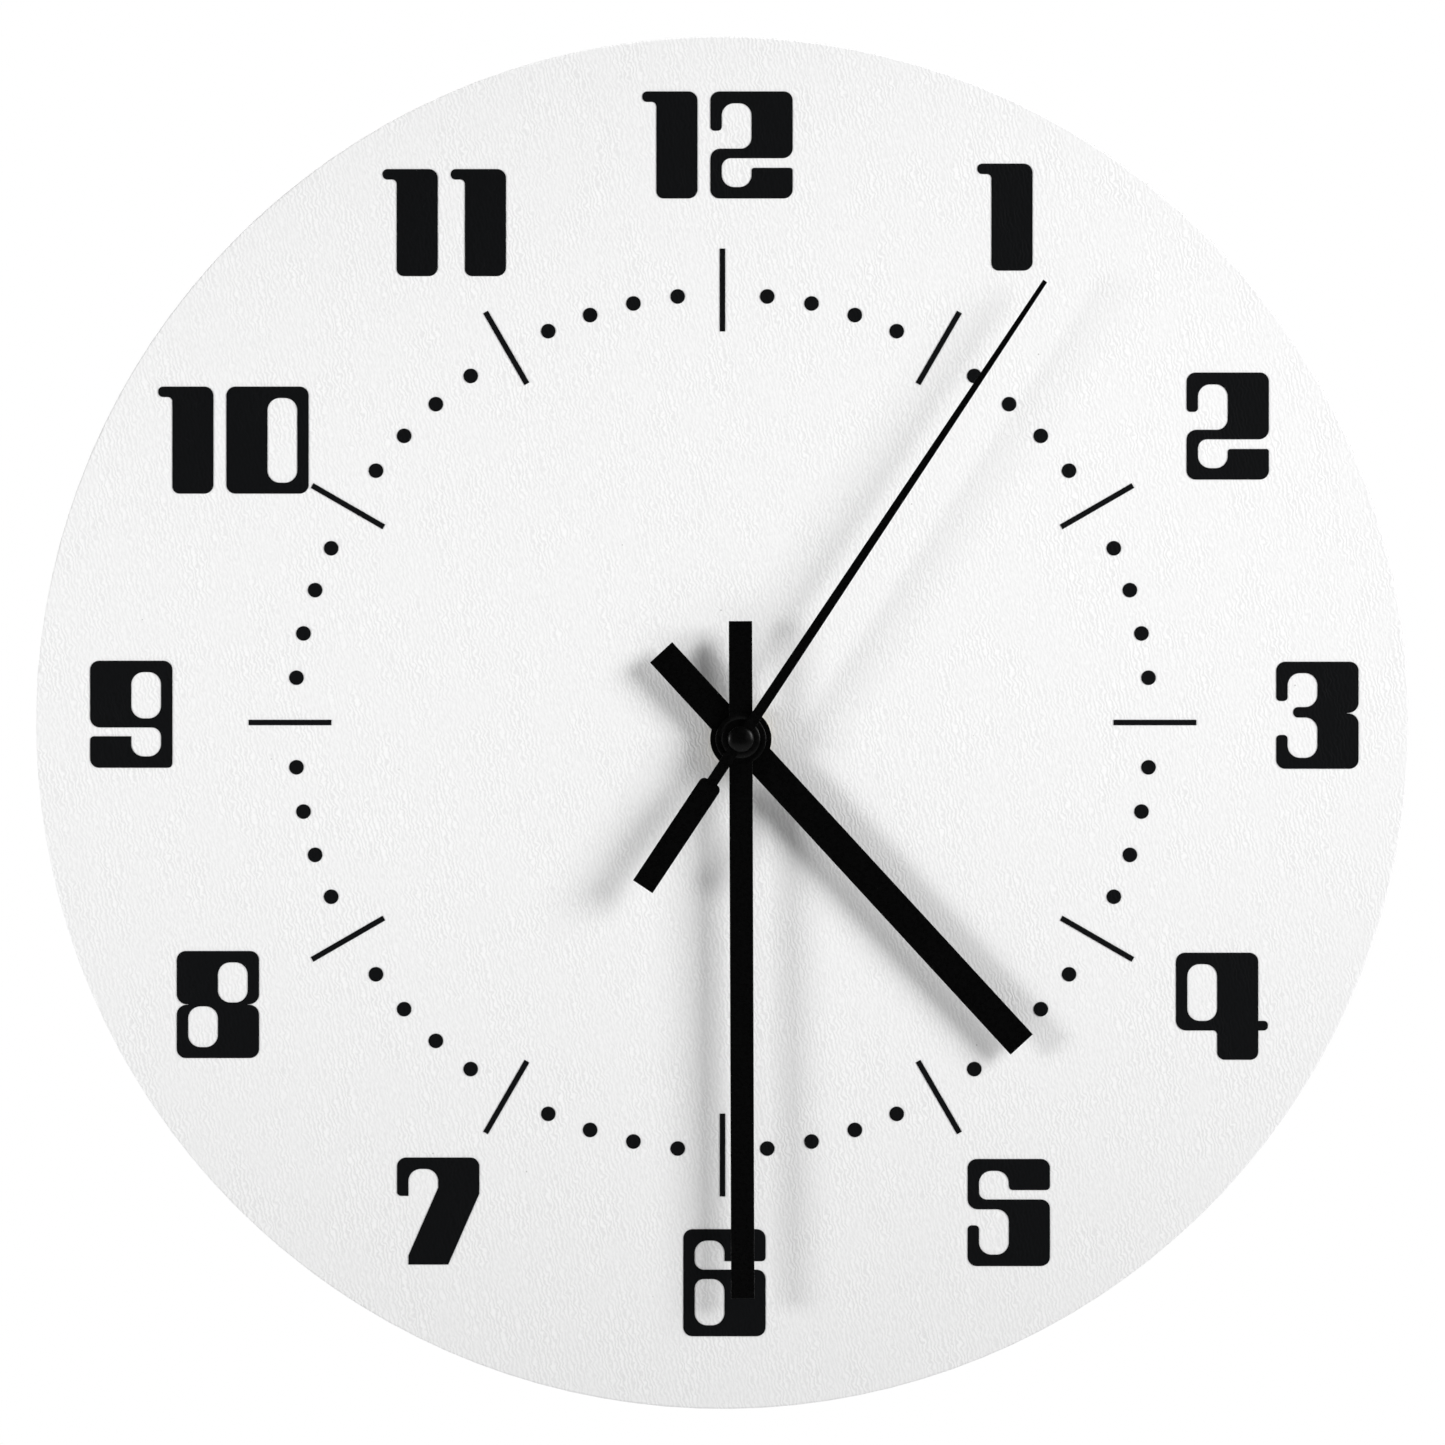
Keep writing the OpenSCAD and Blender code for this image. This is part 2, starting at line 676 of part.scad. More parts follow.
module rear_case() {
    color("#1c1c1e") at_arbor() difference() {
        union() {
            difference() {
                linear_extrude(lid_z) case_outline();
                translate([-inner_x, train_foot, back_t])
                    cube([2 * inner_x, inner_y - train_foot, lid_z]);
                translate([-inner_x, bay_foot, -cut])
                    cube([2 * inner_x, bay_top - bay_foot, lid_z + 2 * cut]);
            }
            post([0, 0], 1.8, cut, boss_z);
            for (at = [intermediate_at, rotor_at, third_at]) post(at, 1.5, cut, boss_z);
            for (at = plate_posts) {
                post(at, post_r, cut, plate_z);
                post(at, peg_r, plate_z - cut, plate_end + 0.4);
            }
            for (at = stator_posts) {
                post(at, post_r, cut, stator_z);
                post(at, peg_r, stator_z - cut, stator_z + stator_t + 0.3);
            }
            for (at = pcb_posts) {
                post(at, post_r, cut, pcb_z);
                post(at, peg_r, pcb_z - cut, pcb_z + pcb_t + 0.4);
            }
            post(setting_at, pocket_r + 1, cut, pocket_floor_end);
        }
        post([0, 0], second_r + running, pivot_z - 0.1, boss_z + cut);
        for (at = [intermediate_at, rotor_at, third_at])
            post(at, pivot_r + running, pivot_z - 0.1, boss_z + cut);
        post(setting_at, pocket_r, -cut, pocket_z);
        post(setting_at, stem_r + running, pocket_z - cut, pocket_floor_end + cut);
        for (s = [-1, 1]) translate([s > 0 ? contact_x : -contact_x - tail_w, bay_top - cut, tail_z])
            cube([tail_w, bay_wall + 2 * cut, tail_h]);
        snap_places() translate([-snap_w / 2 - 0.1, -snap_t - running, lid_z - snap_h - 0.1])
            cube([snap_w + 0.2, snap_t + running + cut, snap_h + cut + 0.1]);
    }
}

module front_case() {
    color("#242426") at_arbor() difference() {
        union() {
            translate([0, 0, lid_z]) linear_extrude(lid_t) case_outline();
            post([0, 0], neck_r, case_d - cut, neck_end);
            post([0, 0], neck_r + 0.6, lid_z - 1, lid_z + cut);
            post(motion_at, motion_post_r + 0.6, motion_pinion_z + pinion_h + 0.4, lid_z + cut);
            post(motion_at, motion_post_r, motion_z - 0.6, lid_z + cut);
            post(setting_at, 1.6, cannon_z + pinion_h + apart, lid_z + cut);
            snap_places() translate([-snap_w / 2, -snap_t, lid_z - snap_h])
                cube([snap_w, snap_t, snap_h + cut]);
        }
        post([0, 0], hour_pipe_r + running, lid_z - 1 - cut, neck_end + cut);
        post(setting_at, setting_pivot_r + running, cannon_z + pinion_h, lid_z - 0.2);
    }
}

motion_post_r = 0.8;
setting_pivot_r = 0.7;
window_left = stator_left + stator_leg - 1;
window_right = stator_right - stator_leg + 1;

module middle_plate() {
    color("ivory") at_arbor() difference() {
        translate([-inner_x + 0.2, train_foot + 0.2, plate_z]) linear_extrude(plate_t)
            round_rect(2 * inner_x - 0.4, inner_y - train_foot - 0.4, [2, 2, 1, 1]);
        post([0, 0], second_r + running, plate_z - cut, plate_end + cut);
        for (at = [intermediate_at, rotor_at, third_at])
            post(at, pivot_r + running, plate_z - cut, plate_end + cut);
        post(setting_at, stem_r + 0.3, plate_z - cut, plate_end + cut);
        for (at = plate_posts) post(at, peg_r + running, plate_z - cut, plate_end + cut);
        translate([window_left, coil_y - coil_r - 1, plate_z - cut])
            cube([window_right - window_left, inner_y, plate_t + 2 * cut]);
    }
}

// ---- Battery and electrics ----

nub_r = 2.7;
nub_l = 1.3;
cell_edge = 0.4;
contact_x = cell_len / 2 + 0.4;
tail_w = 0.7;
tail_h = 2.4;
tail_z = pcb_z + pcb_t - 0.1;
tail_gap = 0.2;

module battery() {
    color("#2f6f8f") at_arbor() translate([-cell_len / 2, cell_y, cell_z]) rotate([0, 90, 0])
        rotate_extrude() polygon([[0, 0], [cell_d / 2 - cell_edge, 0], [cell_d / 2, cell_edge],
            [cell_d / 2, cell_len - nub_l - cell_edge], [cell_d / 2 - cell_edge, cell_len - nub_l],
            [nub_r, cell_len - nub_l], [nub_r, cell_len], [0, cell_len]]);
}

// Sprung strip at one end of the bay, with its tail through the bay wall
module contact(bow) {
    plate_w = 9;
    translate([contact_x + tail_gap, cell_y - plate_w / 2, cell_z - plate_w / 2])
        cube([contact_t, plate_w, plate_w]);
    translate([contact_x + tail_gap, cell_y, tail_z + tail_gap])
        cube([contact_t, train_foot - cell_y + 1.4, tail_h - 2 * tail_gap]);
    translate([contact_x + tail_gap - bow, cell_y - 2, cell_z - 2]) cube([bow + cut, 4, 4]);
}

module positive_contact() { color("silver") at_arbor() contact(0.25); }

module negative_contact() { color("silver") at_arbor() mirror([1, 0, 0]) contact(0.25); }

module circuit_board() {
    color("darkgreen") at_arbor() difference() {
        translate([0, 0, pcb_z]) linear_extrude(pcb_t) union() {
            translate([pcb_left, pcb_foot]) square([pcb_right - pcb_left, pcb_top - pcb_foot]);
            translate([coil_right + 1.6, pcb_top - pcb_arm])
                square([pcb_left - coil_right, pcb_arm]);
            translate([-post_x + post_r + 0.4, pcb_foot]) square([post_x + pcb_left, pcb_arm]);
            translate([-inner_x + apart, pcb_foot]) square([2 * (inner_x - apart), pcb_rail]);
        }
        for (at = pcb_posts) post(at, peg_r + running, pcb_z - cut, pcb_z + pcb_t + cut);
    }
}

module control_chip() {
    color("black") at_arbor() translate([17.4, 3, pcb_z + pcb_t]) intersection() {
        translate([0, 0, -3]) sphere(r = 4.4);
        cylinder(r = 4, h = 3);
    }
}

module quartz_crystal() {
    color("lightgray") at_arbor() translate([20.3, 10, pcb_z + pcb_t + 1]) rotate([-90, 0, 0]) {
        cylinder(r = 1, h = 6);
        translate([0, 0, -0.6]) cylinder(r = 0.8, h = 0.7);
    }
}

// Round flange of the bobbin at x
module bobbin_flange(x) {
    translate([x, coil_y, coil_z]) rotate([0, 90, 0]) cylinder(r = coil_r + 0.3, h = flange_w);
}

module coil_bobbin() {
    color("white") at_arbor() difference() {
        union() {
            bobbin_flange(coil_left - flange_w);
            bobbin_flange(coil_right);
            translate([coil_left - cut, coil_y, coil_z]) rotate([0, 90, 0])
                cylinder(r = barrel_r, h = coil_right - coil_left + 2 * cut);
        }
        translate([coil_left - 2, coil_y - core_neck / 2 - pressed, coil_z - core_t / 2 - pressed])
            cube([coil_right - coil_left + 4, core_neck + 2 * pressed, core_t + 2 * pressed]);
    }
}

module coil_winding() {
    color("chocolate") at_arbor() translate([coil_left, coil_y, coil_z]) rotate([0, 90, 0])
        ring(coil_r, barrel_r + pressed, 0.05, coil_right - coil_left - 0.05);
}

module coil_core() {
    core_z = stator_z + stator_t;
    color("dimgray") at_arbor() {
        translate([stator_left + 0.4, coil_y - core_neck / 2, core_z])
            cube([stator_right - stator_left - 0.8, core_neck, core_t]);
        for (x = [stator_left + 0.4, stator_right - stator_leg + 0.9])
            translate([x, coil_y - core_w / 2, core_z])
                cube([stator_leg - 1.3, core_w, core_t]);
    }
}

module stator() {
    width = stator_right - stator_left;
    color("gray") at_arbor() difference() {
        translate([stator_left, stator_foot, stator_z])
            cube([width, stator_top - stator_foot, stator_t]);
        translate([stator_left + stator_leg, stator_foot + stator_bar, stator_z - cut])
            cube([width - 2 * stator_leg, stator_top, stator_t + 2 * cut]);
        post(rotor_at, rotor_r + 0.35, stator_z - cut, stator_z + stator_t + cut);
        for (at = stator_posts)
            post(at, peg_r + running, stator_z - cut, stator_z + stator_t + cut);
    }
}

// ---- Going train ----

module rotor_magnet() {
    color("dimgray") at_arbor() translate(rotor_at)
        ring(rotor_r, pivot_r + pressed, rotor_z, rotor_z + rotor_h);
}

rotor_z = stator_z + stator_t / 2 - rotor_h / 2;
rotor_pinion_z = intermediate_z - (pinion_h - wheel_t) / 2;

module rotor_pinion() {
    color("white") at_arbor() translate(rotor_at) difference() {
        union() {
            gear(rotor_n, rotor_m, rotor_pinion_z, pinion_h, rotor_turn);
            sleeve(0.8, rotor_pinion_z + pinion_h - cut, rotor_z);
        }
        arbor_hole(pivot_r, rotor_pinion_z, rotor_z);
    }
}

// Steel arbor that runs in the rear case and in the middle plate
module short_arbor(at, end) { color("silver") at_arbor() post(at, pivot_r, pivot_z, end); }

module rotor_arbor() { short_arbor(rotor_at, plate_end + 0.2); }

module intermediate_wheel() {
    color("white") at_arbor() translate(intermediate_at) difference() {
        union() {
            gear(intermediate_n, rotor_m, intermediate_z, wheel_t, 0);
            sleeve(0.8, intermediate_z + wheel_t - cut, second_z - 0.2);
            gear(intermediate_pinion_n, middle_m, second_z - 0.25, pinion_h,
                intermediate_pinion_turn);
        }
        arbor_hole(pivot_r, intermediate_z, second_z + pinion_h);
    }
}

module intermediate_arbor() { short_arbor(intermediate_at, plate_end + 0.2); }

module second_wheel() {
    color("white") at_arbor() difference() {
        union() {
            gear(second_n, middle_m, second_z, wheel_t, 0);
            sleeve(0.9, second_z + wheel_t - cut, second_pinion_z + cut);
            gear(second_pinion_n, third_m, second_pinion_z, pinion_h, 0);
        }
        arbor_hole(second_r, second_z, second_pinion_z + pinion_h);
    }
}

module second_arbor() { color("silver") at_arbor() post([0, 0], second_r, pivot_z, second_arbor_end); }

module third_wheel() {
    color("white") at_arbor() translate(third_at) difference() {
        union() {
            gear(third_n, third_m, third_z, wheel_t, third_turn);
            sleeve(0.9, third_z + wheel_t - cut, plate_z - apart);
        }
        arbor_hole(pivot_r, third_z, plate_z);
    }
}

module third_pinion() {
    color("gold") at_arbor() translate(third_at) difference() {
        gear(third_pinion_n, centre_m, third_pinion_z, pinion_h, 0);
        arbor_hole(pivot_r, third_pinion_z, third_pinion_z + pinion_h);
    }
}

module third_arbor() { short_arbor(third_at, third_pinion_z + pinion_h + 0.1); }

centre_bush_r = 2.4;

module centre_wheel() {
    color("gold") at_arbor() difference() {
        gear(centre_n, centre_m, centre_z, wheel_t, centre_turn);
        arbor_hole(centre_bush_r, centre_z, centre_z + wheel_t);
    }
}

module centre_wheel_bush() {
    color("goldenrod") at_arbor()
        ring(centre_bush_r, minute_pipe_r + running, centre_z, centre_z + wheel_t);
}

// ---- Setting train ----

module clutch_spring() {
    arm_w = 1.2;
    arm_l = 3.6;
    color("orange") at_arbor() difference() {
        union() {
            post([0, 0], 2.5, spring_z, spring_z + spring_t);
            for (turn = [0:120:240]) rotate([0, 0, turn]) {
                translate([0, -arm_w / 2, spring_z]) cube([arm_l, arm_w, spring_t]);
                translate([arm_l - arm_w, -arm_w / 2, centre_z + wheel_t + running])
                    cube([arm_w, arm_w, spring_z + cut - centre_z - wheel_t - running]);
            }
        }
        post([0, 0], minute_pipe_r + pressed, spring_z - 1, spring_z + 1);
    }
}

module minute_pipe() {
    color("silver") at_arbor() difference() {
        union() {
            post([0, 0], minute_pipe_r, pipe_z, minute_pipe_end);
            post([0, 0], 2.5, pipe_z, pipe_z + flange_t);
        }
        post([0, 0], second_r + running, pipe_z - cut, minute_pipe_end + cut);
    }
}

module cannon_pinion() {
    color("gold") at_arbor() difference() {
        gear(cannon_n, motion_m, cannon_z, pinion_h, 0);
        arbor_hole(minute_pipe_r, cannon_z, cannon_z + pinion_h);
    }
}

module motion_wheel() {
    color("white") at_arbor() translate(motion_at) difference() {
        union() {
            gear(motion_n, motion_m, motion_z, wheel_t, motion_turn);
            gear(motion_pinion_n, hour_m, motion_pinion_z - cut, pinion_h + cut, 0);
        }
        post([0, 0], motion_post_r + running, motion_z - cut, motion_pinion_z + pinion_h + cut);
    }
}

module hour_wheel() {
    color("white") at_arbor() difference() {
        gear(hour_n, hour_m, hour_z, wheel_t, hour_turn);
        arbor_hole(hour_pipe_r, hour_z, hour_z + wheel_t);
    }
}

module hour_pipe() {
    color("gainsboro") at_arbor() ring(hour_pipe_r, minute_pipe_r + running, hour_z, hour_pipe_end);
}

module setting_knob() {
    color("white") at_arbor() translate(setting_at) difference() {
        union() {
            post([0, 0], knob_r, apart, apart + knob_h);
            post([0, 0], stem_r, apart + knob_h - cut, cannon_z);
            post([0, 0], setting_pivot_r, cannon_z - cut, cannon_z + pinion_h + 1.6);
        }
        for (turn = [0:20:340]) post(polar(knob_r, turn), 0.35, apart - cut, apart + knob_h + cut);
        translate([-3, -0.5, apart - cut]) cube([6, 1, 1]);
    }
}

module setting_pinion() {
    color("white") at_arbor() translate(setting_at) difference() {
        gear(setting_n, motion_m, cannon_z, pinion_h, setting_turn);
        arbor_hole(setting_pivot_r, cannon_z, cannon_z + pinion_h);
    }
}

// ---- Fixing through the dial ----

module rubber_washer() {
    color("black") at_arbor() ring(9, neck_r + pressed, case_d, board_z);
}

module brass_washer() {
    color("gold") at_arbor() ring(nut_flats / 2 + 0.8, neck_r + pressed, print_z, nut_z);
}

module hex_nut() {
    color("gold") at_arbor() difference() {
        translate([0, 0, nut_z]) cylinder(r = nut_flats / 2 / cos(30), h = nut_h, $fn = 6);
        post([0, 0], neck_r + pressed, nut_z - cut, nut_z + nut_h + cut);
    }
}

// ---- Hands ----

// Flat blade that points up, with a round hub
module blade(tip, tail, w, hub_r) {
    translate([-w / 2, -tail]) square([w, tip + tail]);
    circle(hub_r);
}

module hour_hand() {
    color("black") at_arbor() translate([0, 0, hour_hand_z]) difference() {
        rotate([0, 0, -hour_at]) linear_extrude(hand_t)
            blade(hour_tip, hour_tail, hour_w, hour_hub_r);
        post([0, 0], hour_pipe_r + pressed, -cut, hand_t + cut);
    }
}

module hour_hand_collet() {
    color("black") at_arbor()
        ring(hour_pipe_r + 0.9, hour_pipe_r + pressed, hour_hand_z - collet_h, hour_hand_z);
}

module minute_hand() {
    color("black") at_arbor() translate([0, 0, minute_hand_z]) difference() {
        rotate([0, 0, -minute_at]) linear_extrude(hand_t)
            blade(minute_tip, minute_tail, minute_w, minute_hub_r);
        post([0, 0], minute_pipe_r + pressed, -cut, hand_t + cut);
    }
}

module minute_hand_collet() {
    color("black") at_arbor() ring(minute_pipe_r + 0.9, minute_pipe_r + pressed,
        minute_hand_z - collet_h, minute_hand_z);
}

neck_w = 2.55;
shoulder = 1.4;

module second_hand() {
    color("black") at_arbor() translate([0, 0, second_hand_z]) rotate([0, 0, -second_at])
        difference() {
            linear_extrude(hand_t) {
                polygon([[-second_root_w / 2, 0], [second_root_w / 2, 0],
                    [second_tip_w / 2, second_tip], [-second_tip_w / 2, second_tip]]);
                translate([-neck_w / 2, -weight_start - shoulder])
                    square([neck_w, weight_start + shoulder]);
                translate([-weight_w / 2, -weight_end])
                    round_rect(weight_w, weight_end - weight_start, [shoulder, shoulder, 0, 0]);
                circle(second_cap_r - 0.2);
            }
            post([0, 0], socket_r + pressed, -cut, hand_t + cut);
        }
}

socket_r = 1.3;
cap_rise = 0.9;

module second_hand_socket() {
    socket_z = minute_pipe_end + apart;
    color("black") at_arbor() difference() {
        union() {
            post([0, 0], socket_r, socket_z, second_hand_z + hand_t + cut);
            translate([0, 0, second_hand_z + hand_t]) intersection() {
                cylinder(r = second_cap_r, h = cap_rise);
                translate([0, 0, cap_rise - 6]) sphere(r = 6);
            }
        }
        post([0, 0], second_r + pressed, socket_z - cut, second_arbor_end + 0.1);
    }
}

dial_board();
dial_face();
numerals();
hour_ticks();
minute_dots();
hanger_plate();
hanger_screws();
rear_case();
front_case();
middle_plate();
battery();
positive_contact();
negative_contact();
circuit_board();
control_chip();
quartz_crystal();
coil_bobbin();
coil_winding();
coil_core();
stator();
rotor_magnet();
rotor_pinion();
rotor_arbor();
intermediate_wheel();
intermediate_arbor();
second_wheel();
second_arbor();
third_wheel();
third_pinion();
third_arbor();
centre_wheel();
centre_wheel_bush();
clutch_spring();
minute_pipe();
cannon_pinion();
motion_wheel();
hour_wheel();
hour_pipe();
setting_knob();
setting_pinion();
rubber_washer();
brass_washer();
hex_nut();
hour_hand();
hour_hand_collet();
minute_hand();
minute_hand_collet();
second_hand();
second_hand_socket();
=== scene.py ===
"""Looks of a frameless round wall clock.

A printed dial on a fibreboard disc, three stamped hands on a turned arbor, and
behind them the battery movement and the hanger. Metres throughout; -Y faces
the reader, +Y the wall.
"""
import json
import math

import bmesh
import bpy
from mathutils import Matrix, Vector


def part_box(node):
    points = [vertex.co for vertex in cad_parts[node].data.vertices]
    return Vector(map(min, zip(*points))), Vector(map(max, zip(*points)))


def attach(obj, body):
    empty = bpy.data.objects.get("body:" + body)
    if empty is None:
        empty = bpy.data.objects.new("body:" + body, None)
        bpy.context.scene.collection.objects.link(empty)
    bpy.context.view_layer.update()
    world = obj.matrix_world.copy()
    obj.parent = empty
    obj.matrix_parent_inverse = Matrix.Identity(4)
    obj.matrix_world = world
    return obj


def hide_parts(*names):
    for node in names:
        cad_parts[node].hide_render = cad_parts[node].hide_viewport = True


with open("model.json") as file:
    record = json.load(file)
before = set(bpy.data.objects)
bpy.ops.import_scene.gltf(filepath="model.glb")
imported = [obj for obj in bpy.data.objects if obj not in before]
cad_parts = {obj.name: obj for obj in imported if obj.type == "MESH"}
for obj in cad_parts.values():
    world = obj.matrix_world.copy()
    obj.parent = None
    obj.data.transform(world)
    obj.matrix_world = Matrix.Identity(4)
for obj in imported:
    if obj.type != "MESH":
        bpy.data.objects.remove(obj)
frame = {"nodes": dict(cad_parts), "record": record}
bpy.context.view_layer.update()

MM = 0.001
QUARTER = math.pi / 2


# ---- Nodes ----

def linear(code):
    """Turns an sRGB hex colour into the linear colour that a shader takes."""
    parts = [int(code[i:i + 2], 16) / 255 for i in (1, 3, 5)]
    return [c / 12.92 if c <= 0.04045 else ((c + 0.055) / 1.055) ** 2.4 for c in parts] + [1.0]


def add(tree, kind, takes=None, **settings):
    """Adds a node. takes gives each input its value, or the output that feeds it."""
    made = tree.nodes.new(kind)
    for name, value in settings.items():
        setattr(made, name, value)
    for socket, value in (takes or {}).items():
        if isinstance(value, bpy.types.NodeSocket):
            tree.links.new(value, made.inputs[socket])
        else:
            made.inputs[socket].default_value = value
    return made


def finish(name, metallic=0.0, roughness=0.5, **fixed):
    """A new material with its shader. What is the same all over is set on the shader's sockets."""
    material = bpy.data.materials.new(name)
    material.use_nodes = True
    tree = material.node_tree
    tree.nodes.clear()
    takes = {"Metallic": metallic, "Roughness": roughness}
    takes.update({word.replace("_", " "): value for word, value in fixed.items()})
    shader = add(tree, "ShaderNodeBsdfPrincipled", takes)
    add(tree, "ShaderNodeOutputMaterial", {"Surface": shader.outputs["BSDF"]})
    return material, tree, shader


def place(tree):
    """Object coordinates."""
    return add(tree, "ShaderNodeTexCoord").outputs["Object"]


def grain(tree, where, size, turn=0.0, detail=2.0):
    """Noise whose blotches measure size (x, y, z) in millimetres, turned about Y by degrees."""
    seat = add(tree, "ShaderNodeMapping", {
        "Vector": where, "Rotation": (0, math.radians(turn), 0),
        "Scale": [s * MM for s in size]}, vector_type="TEXTURE")
    return add(tree, "ShaderNodeTexNoise", {
        "Vector": seat.outputs[0], "Scale": 1.0, "Detail": detail}).outputs["Fac"]


def remap(tree, value, low, high, to_low, to_high):
    """Stretches low to high of a value over to_low to to_high, and holds it there outside."""
    return add(tree, "ShaderNodeMapRange", {
        "Value": value, "From Min": low, "From Max": high,
        "To Min": to_low, "To Max": to_high}).outputs["Result"]


def band_scale(pitch):
    """Scale at which a band texture repeats every pitch millimetres: its own period is 2 pi / 20."""
    return 2 * math.pi / 20 / (pitch * MM)


def between(tree, share, first, second):
    """Mixes two colours, given as hex codes or as outputs, by a share."""
    made = add(tree, "ShaderNodeMix", data_type="RGBA")
    for socket, value in ((made.inputs[0], share), (made.inputs[6], first), (made.inputs[7], second)):
        if isinstance(value, bpy.types.NodeSocket):
            tree.links.new(value, socket)
        else:
            socket.default_value = linear(value) if isinstance(value, str) else value
    return made.outputs[2]


def relief(tree, shader, height, depth):
    """Bumps the surface by a height from 0 to 1, depth millimetres deep."""
    bump = add(tree, "ShaderNodeBump", {"Height": height, "Distance": depth * MM, "Strength": 1.0})
    tree.links.new(bump.outputs["Normal"], shader.inputs["Normal"])


def feed(tree, shader, socket, value):
    """Links an output to one of the shader's sockets."""
    tree.links.new(value, shader.inputs[socket])


# ---- Finishes ----

def moulded(name, body, worn, roughness, size, depth, **fixed):
    """A moulded plastic: one colour with faint flow marks, and the fine texture of its mould."""
    material, tree, shader = finish(name, roughness=roughness, **fixed)
    where = place(tree)
    flow = grain(tree, where, (14, 14, 14))
    spark = grain(tree, where, (size, size, size), detail=3.0)
    feed(tree, shader, "Base Color", between(tree, remap(tree, flow, 0.35, 0.65, 0, 1), body, worn))
    feed(tree, shader, "Roughness", remap(tree, spark, 0.3, 0.7, roughness - 0.06, roughness + 0.06))
    relief(tree, shader, spark, depth)
    return material


def drawn(name, bright, dull, roughness, size, depth, **fixed):
    """A metal with its working marks: blotches of size (x, y, z) millimetres, long along the draw."""
    material, tree, shader = finish(name, metallic=1.0, roughness=roughness, **fixed)
    where = place(tree)
    marks = grain(tree, where, size, detail=3.0)
    cloud = grain(tree, where, (6, 6, 6))
    feed(tree, shader, "Base Color", between(tree, remap(tree, cloud, 0.35, 0.65, 0, 1), bright, dull))
    feed(tree, shader, "Roughness", remap(tree, marks, 0.3, 0.7, roughness - 0.08, roughness + 0.08))
    relief(tree, shader, marks, depth)
    return material


def streaks(tree, where):
    """The embossed grain of the face sheet: wavy ridges that lean left at the top.

    They stand 0.9 mm apart, and are deeper in some patches than in others."""
    lean = -13
    seat = add(tree, "ShaderNodeMapping", {
        "Vector": where, "Rotation": (0, math.radians(lean), 0)}, vector_type="TEXTURE")
    bands = add(tree, "ShaderNodeTexWave", {
        "Vector": seat.outputs[0], "Scale": band_scale(0.92), "Distortion": 9.0,
        "Detail": 2.0, "Detail Scale": 1.6}, wave_type="BANDS", bands_direction="X").outputs["Fac"]
    patches = remap(tree, grain(tree, where, (6, 6, 9)), 0.35, 0.65, 0.25, 0.8)
    fine = grain(tree, where, (0.45, 0.45, 1.1), turn=lean, detail=1.0)
    return add(tree, "ShaderNodeMix", {0: patches, 2: fine, 3: bands}, data_type="FLOAT").outputs[0]


def printed_sheet():
    """Matt white vinyl film with an embossed grain: nearly white, faint streaks, a few specks."""
    material, tree, shader = finish("embossed_white_vinyl", roughness=0.62, IOR=1.5)
    where = place(tree)
    ridges = streaks(tree, where)
    # a grey speck of dust or ink in about one cell of five
    cell_size = 7 * MM
    dots = add(tree, "ShaderNodeTexVoronoi", {"Vector": where, "Scale": 1 / cell_size})
    lone = add(tree, "ShaderNodeSeparateColor", {"Color": dots.outputs["Color"]})
    near = remap(tree, dots.outputs["Distance"], 0.018, 0.034, 1, 0)
    rare = remap(tree, lone.outputs["Red"], 0.80, 0.84, 0, 0.45)
    speck = add(tree, "ShaderNodeMath", {0: near, 1: rare}, operation="MULTIPLY").outputs[0]
    white = between(tree, remap(tree, ridges, 0.1, 0.9, 0, 1), "#E7E7E7", "#F8F8F8")
    feed(tree, shader, "Base Color", between(tree, speck, white, "#6E6A66"))
    relief(tree, shader, ridges, 0.05)
    return material


def print_ink():
    """Matt black printing ink over the same embossed film, so the grain still shows in it."""
    material, tree, shader = finish("black_printing_ink", roughness=0.5, Specular_IOR_Level=0.08)
    ridges = streaks(tree, place(tree))
    feed(tree, shader, "Base Color", between(tree, ridges, "#070809", "#0C0D0F"))
    relief(tree, shader, ridges, 0.04)
    return material


def hand_paint():
    """Stamped aluminium in black stove enamel: deep black, a soft shine on its edges, orange peel."""
    material, tree, shader = finish("black_stove_enamel", roughness=0.28, Specular_IOR_Level=0.15)
    where = place(tree)
    peel = grain(tree, where, (0.7, 0.7, 0.7))
    feed(tree, shader, "Base Color", between(tree, peel, "#010101", "#040404"))
    feed(tree, shader, "Roughness", remap(tree, peel, 0.3, 0.7, 0.25, 0.31))
    relief(tree, shader, peel, 0.006)
    return material


def fibreboard():
    """Raw medium density fibreboard: light brown, with fine felted fibres."""
    material, tree, shader = finish("raw_fibreboard", roughness=0.85, Specular_IOR_Level=0.3)
    where = place(tree)
    fibres = grain(tree, where, (1.3, 0.22, 0.22), turn=20, detail=3.0)
    chips = grain(tree, where, (0.22, 0.22, 1.3), turn=-25, detail=3.0)
    both = add(tree, "ShaderNodeMath", {0: fibres, 1: chips}, operation="MULTIPLY").outputs[0]
    tone = between(tree, remap(tree, both, 0.14, 0.4, 0, 1), "#AC906C", "#C7AB83")
    cloud = remap(tree, grain(tree, where, (40, 12, 40)), 0.3, 0.7, 0, 0.4)
    feed(tree, shader, "Base Color", between(tree, cloud, tone, "#B99B72"))
    relief(tree, shader, both, 0.007)
    return material


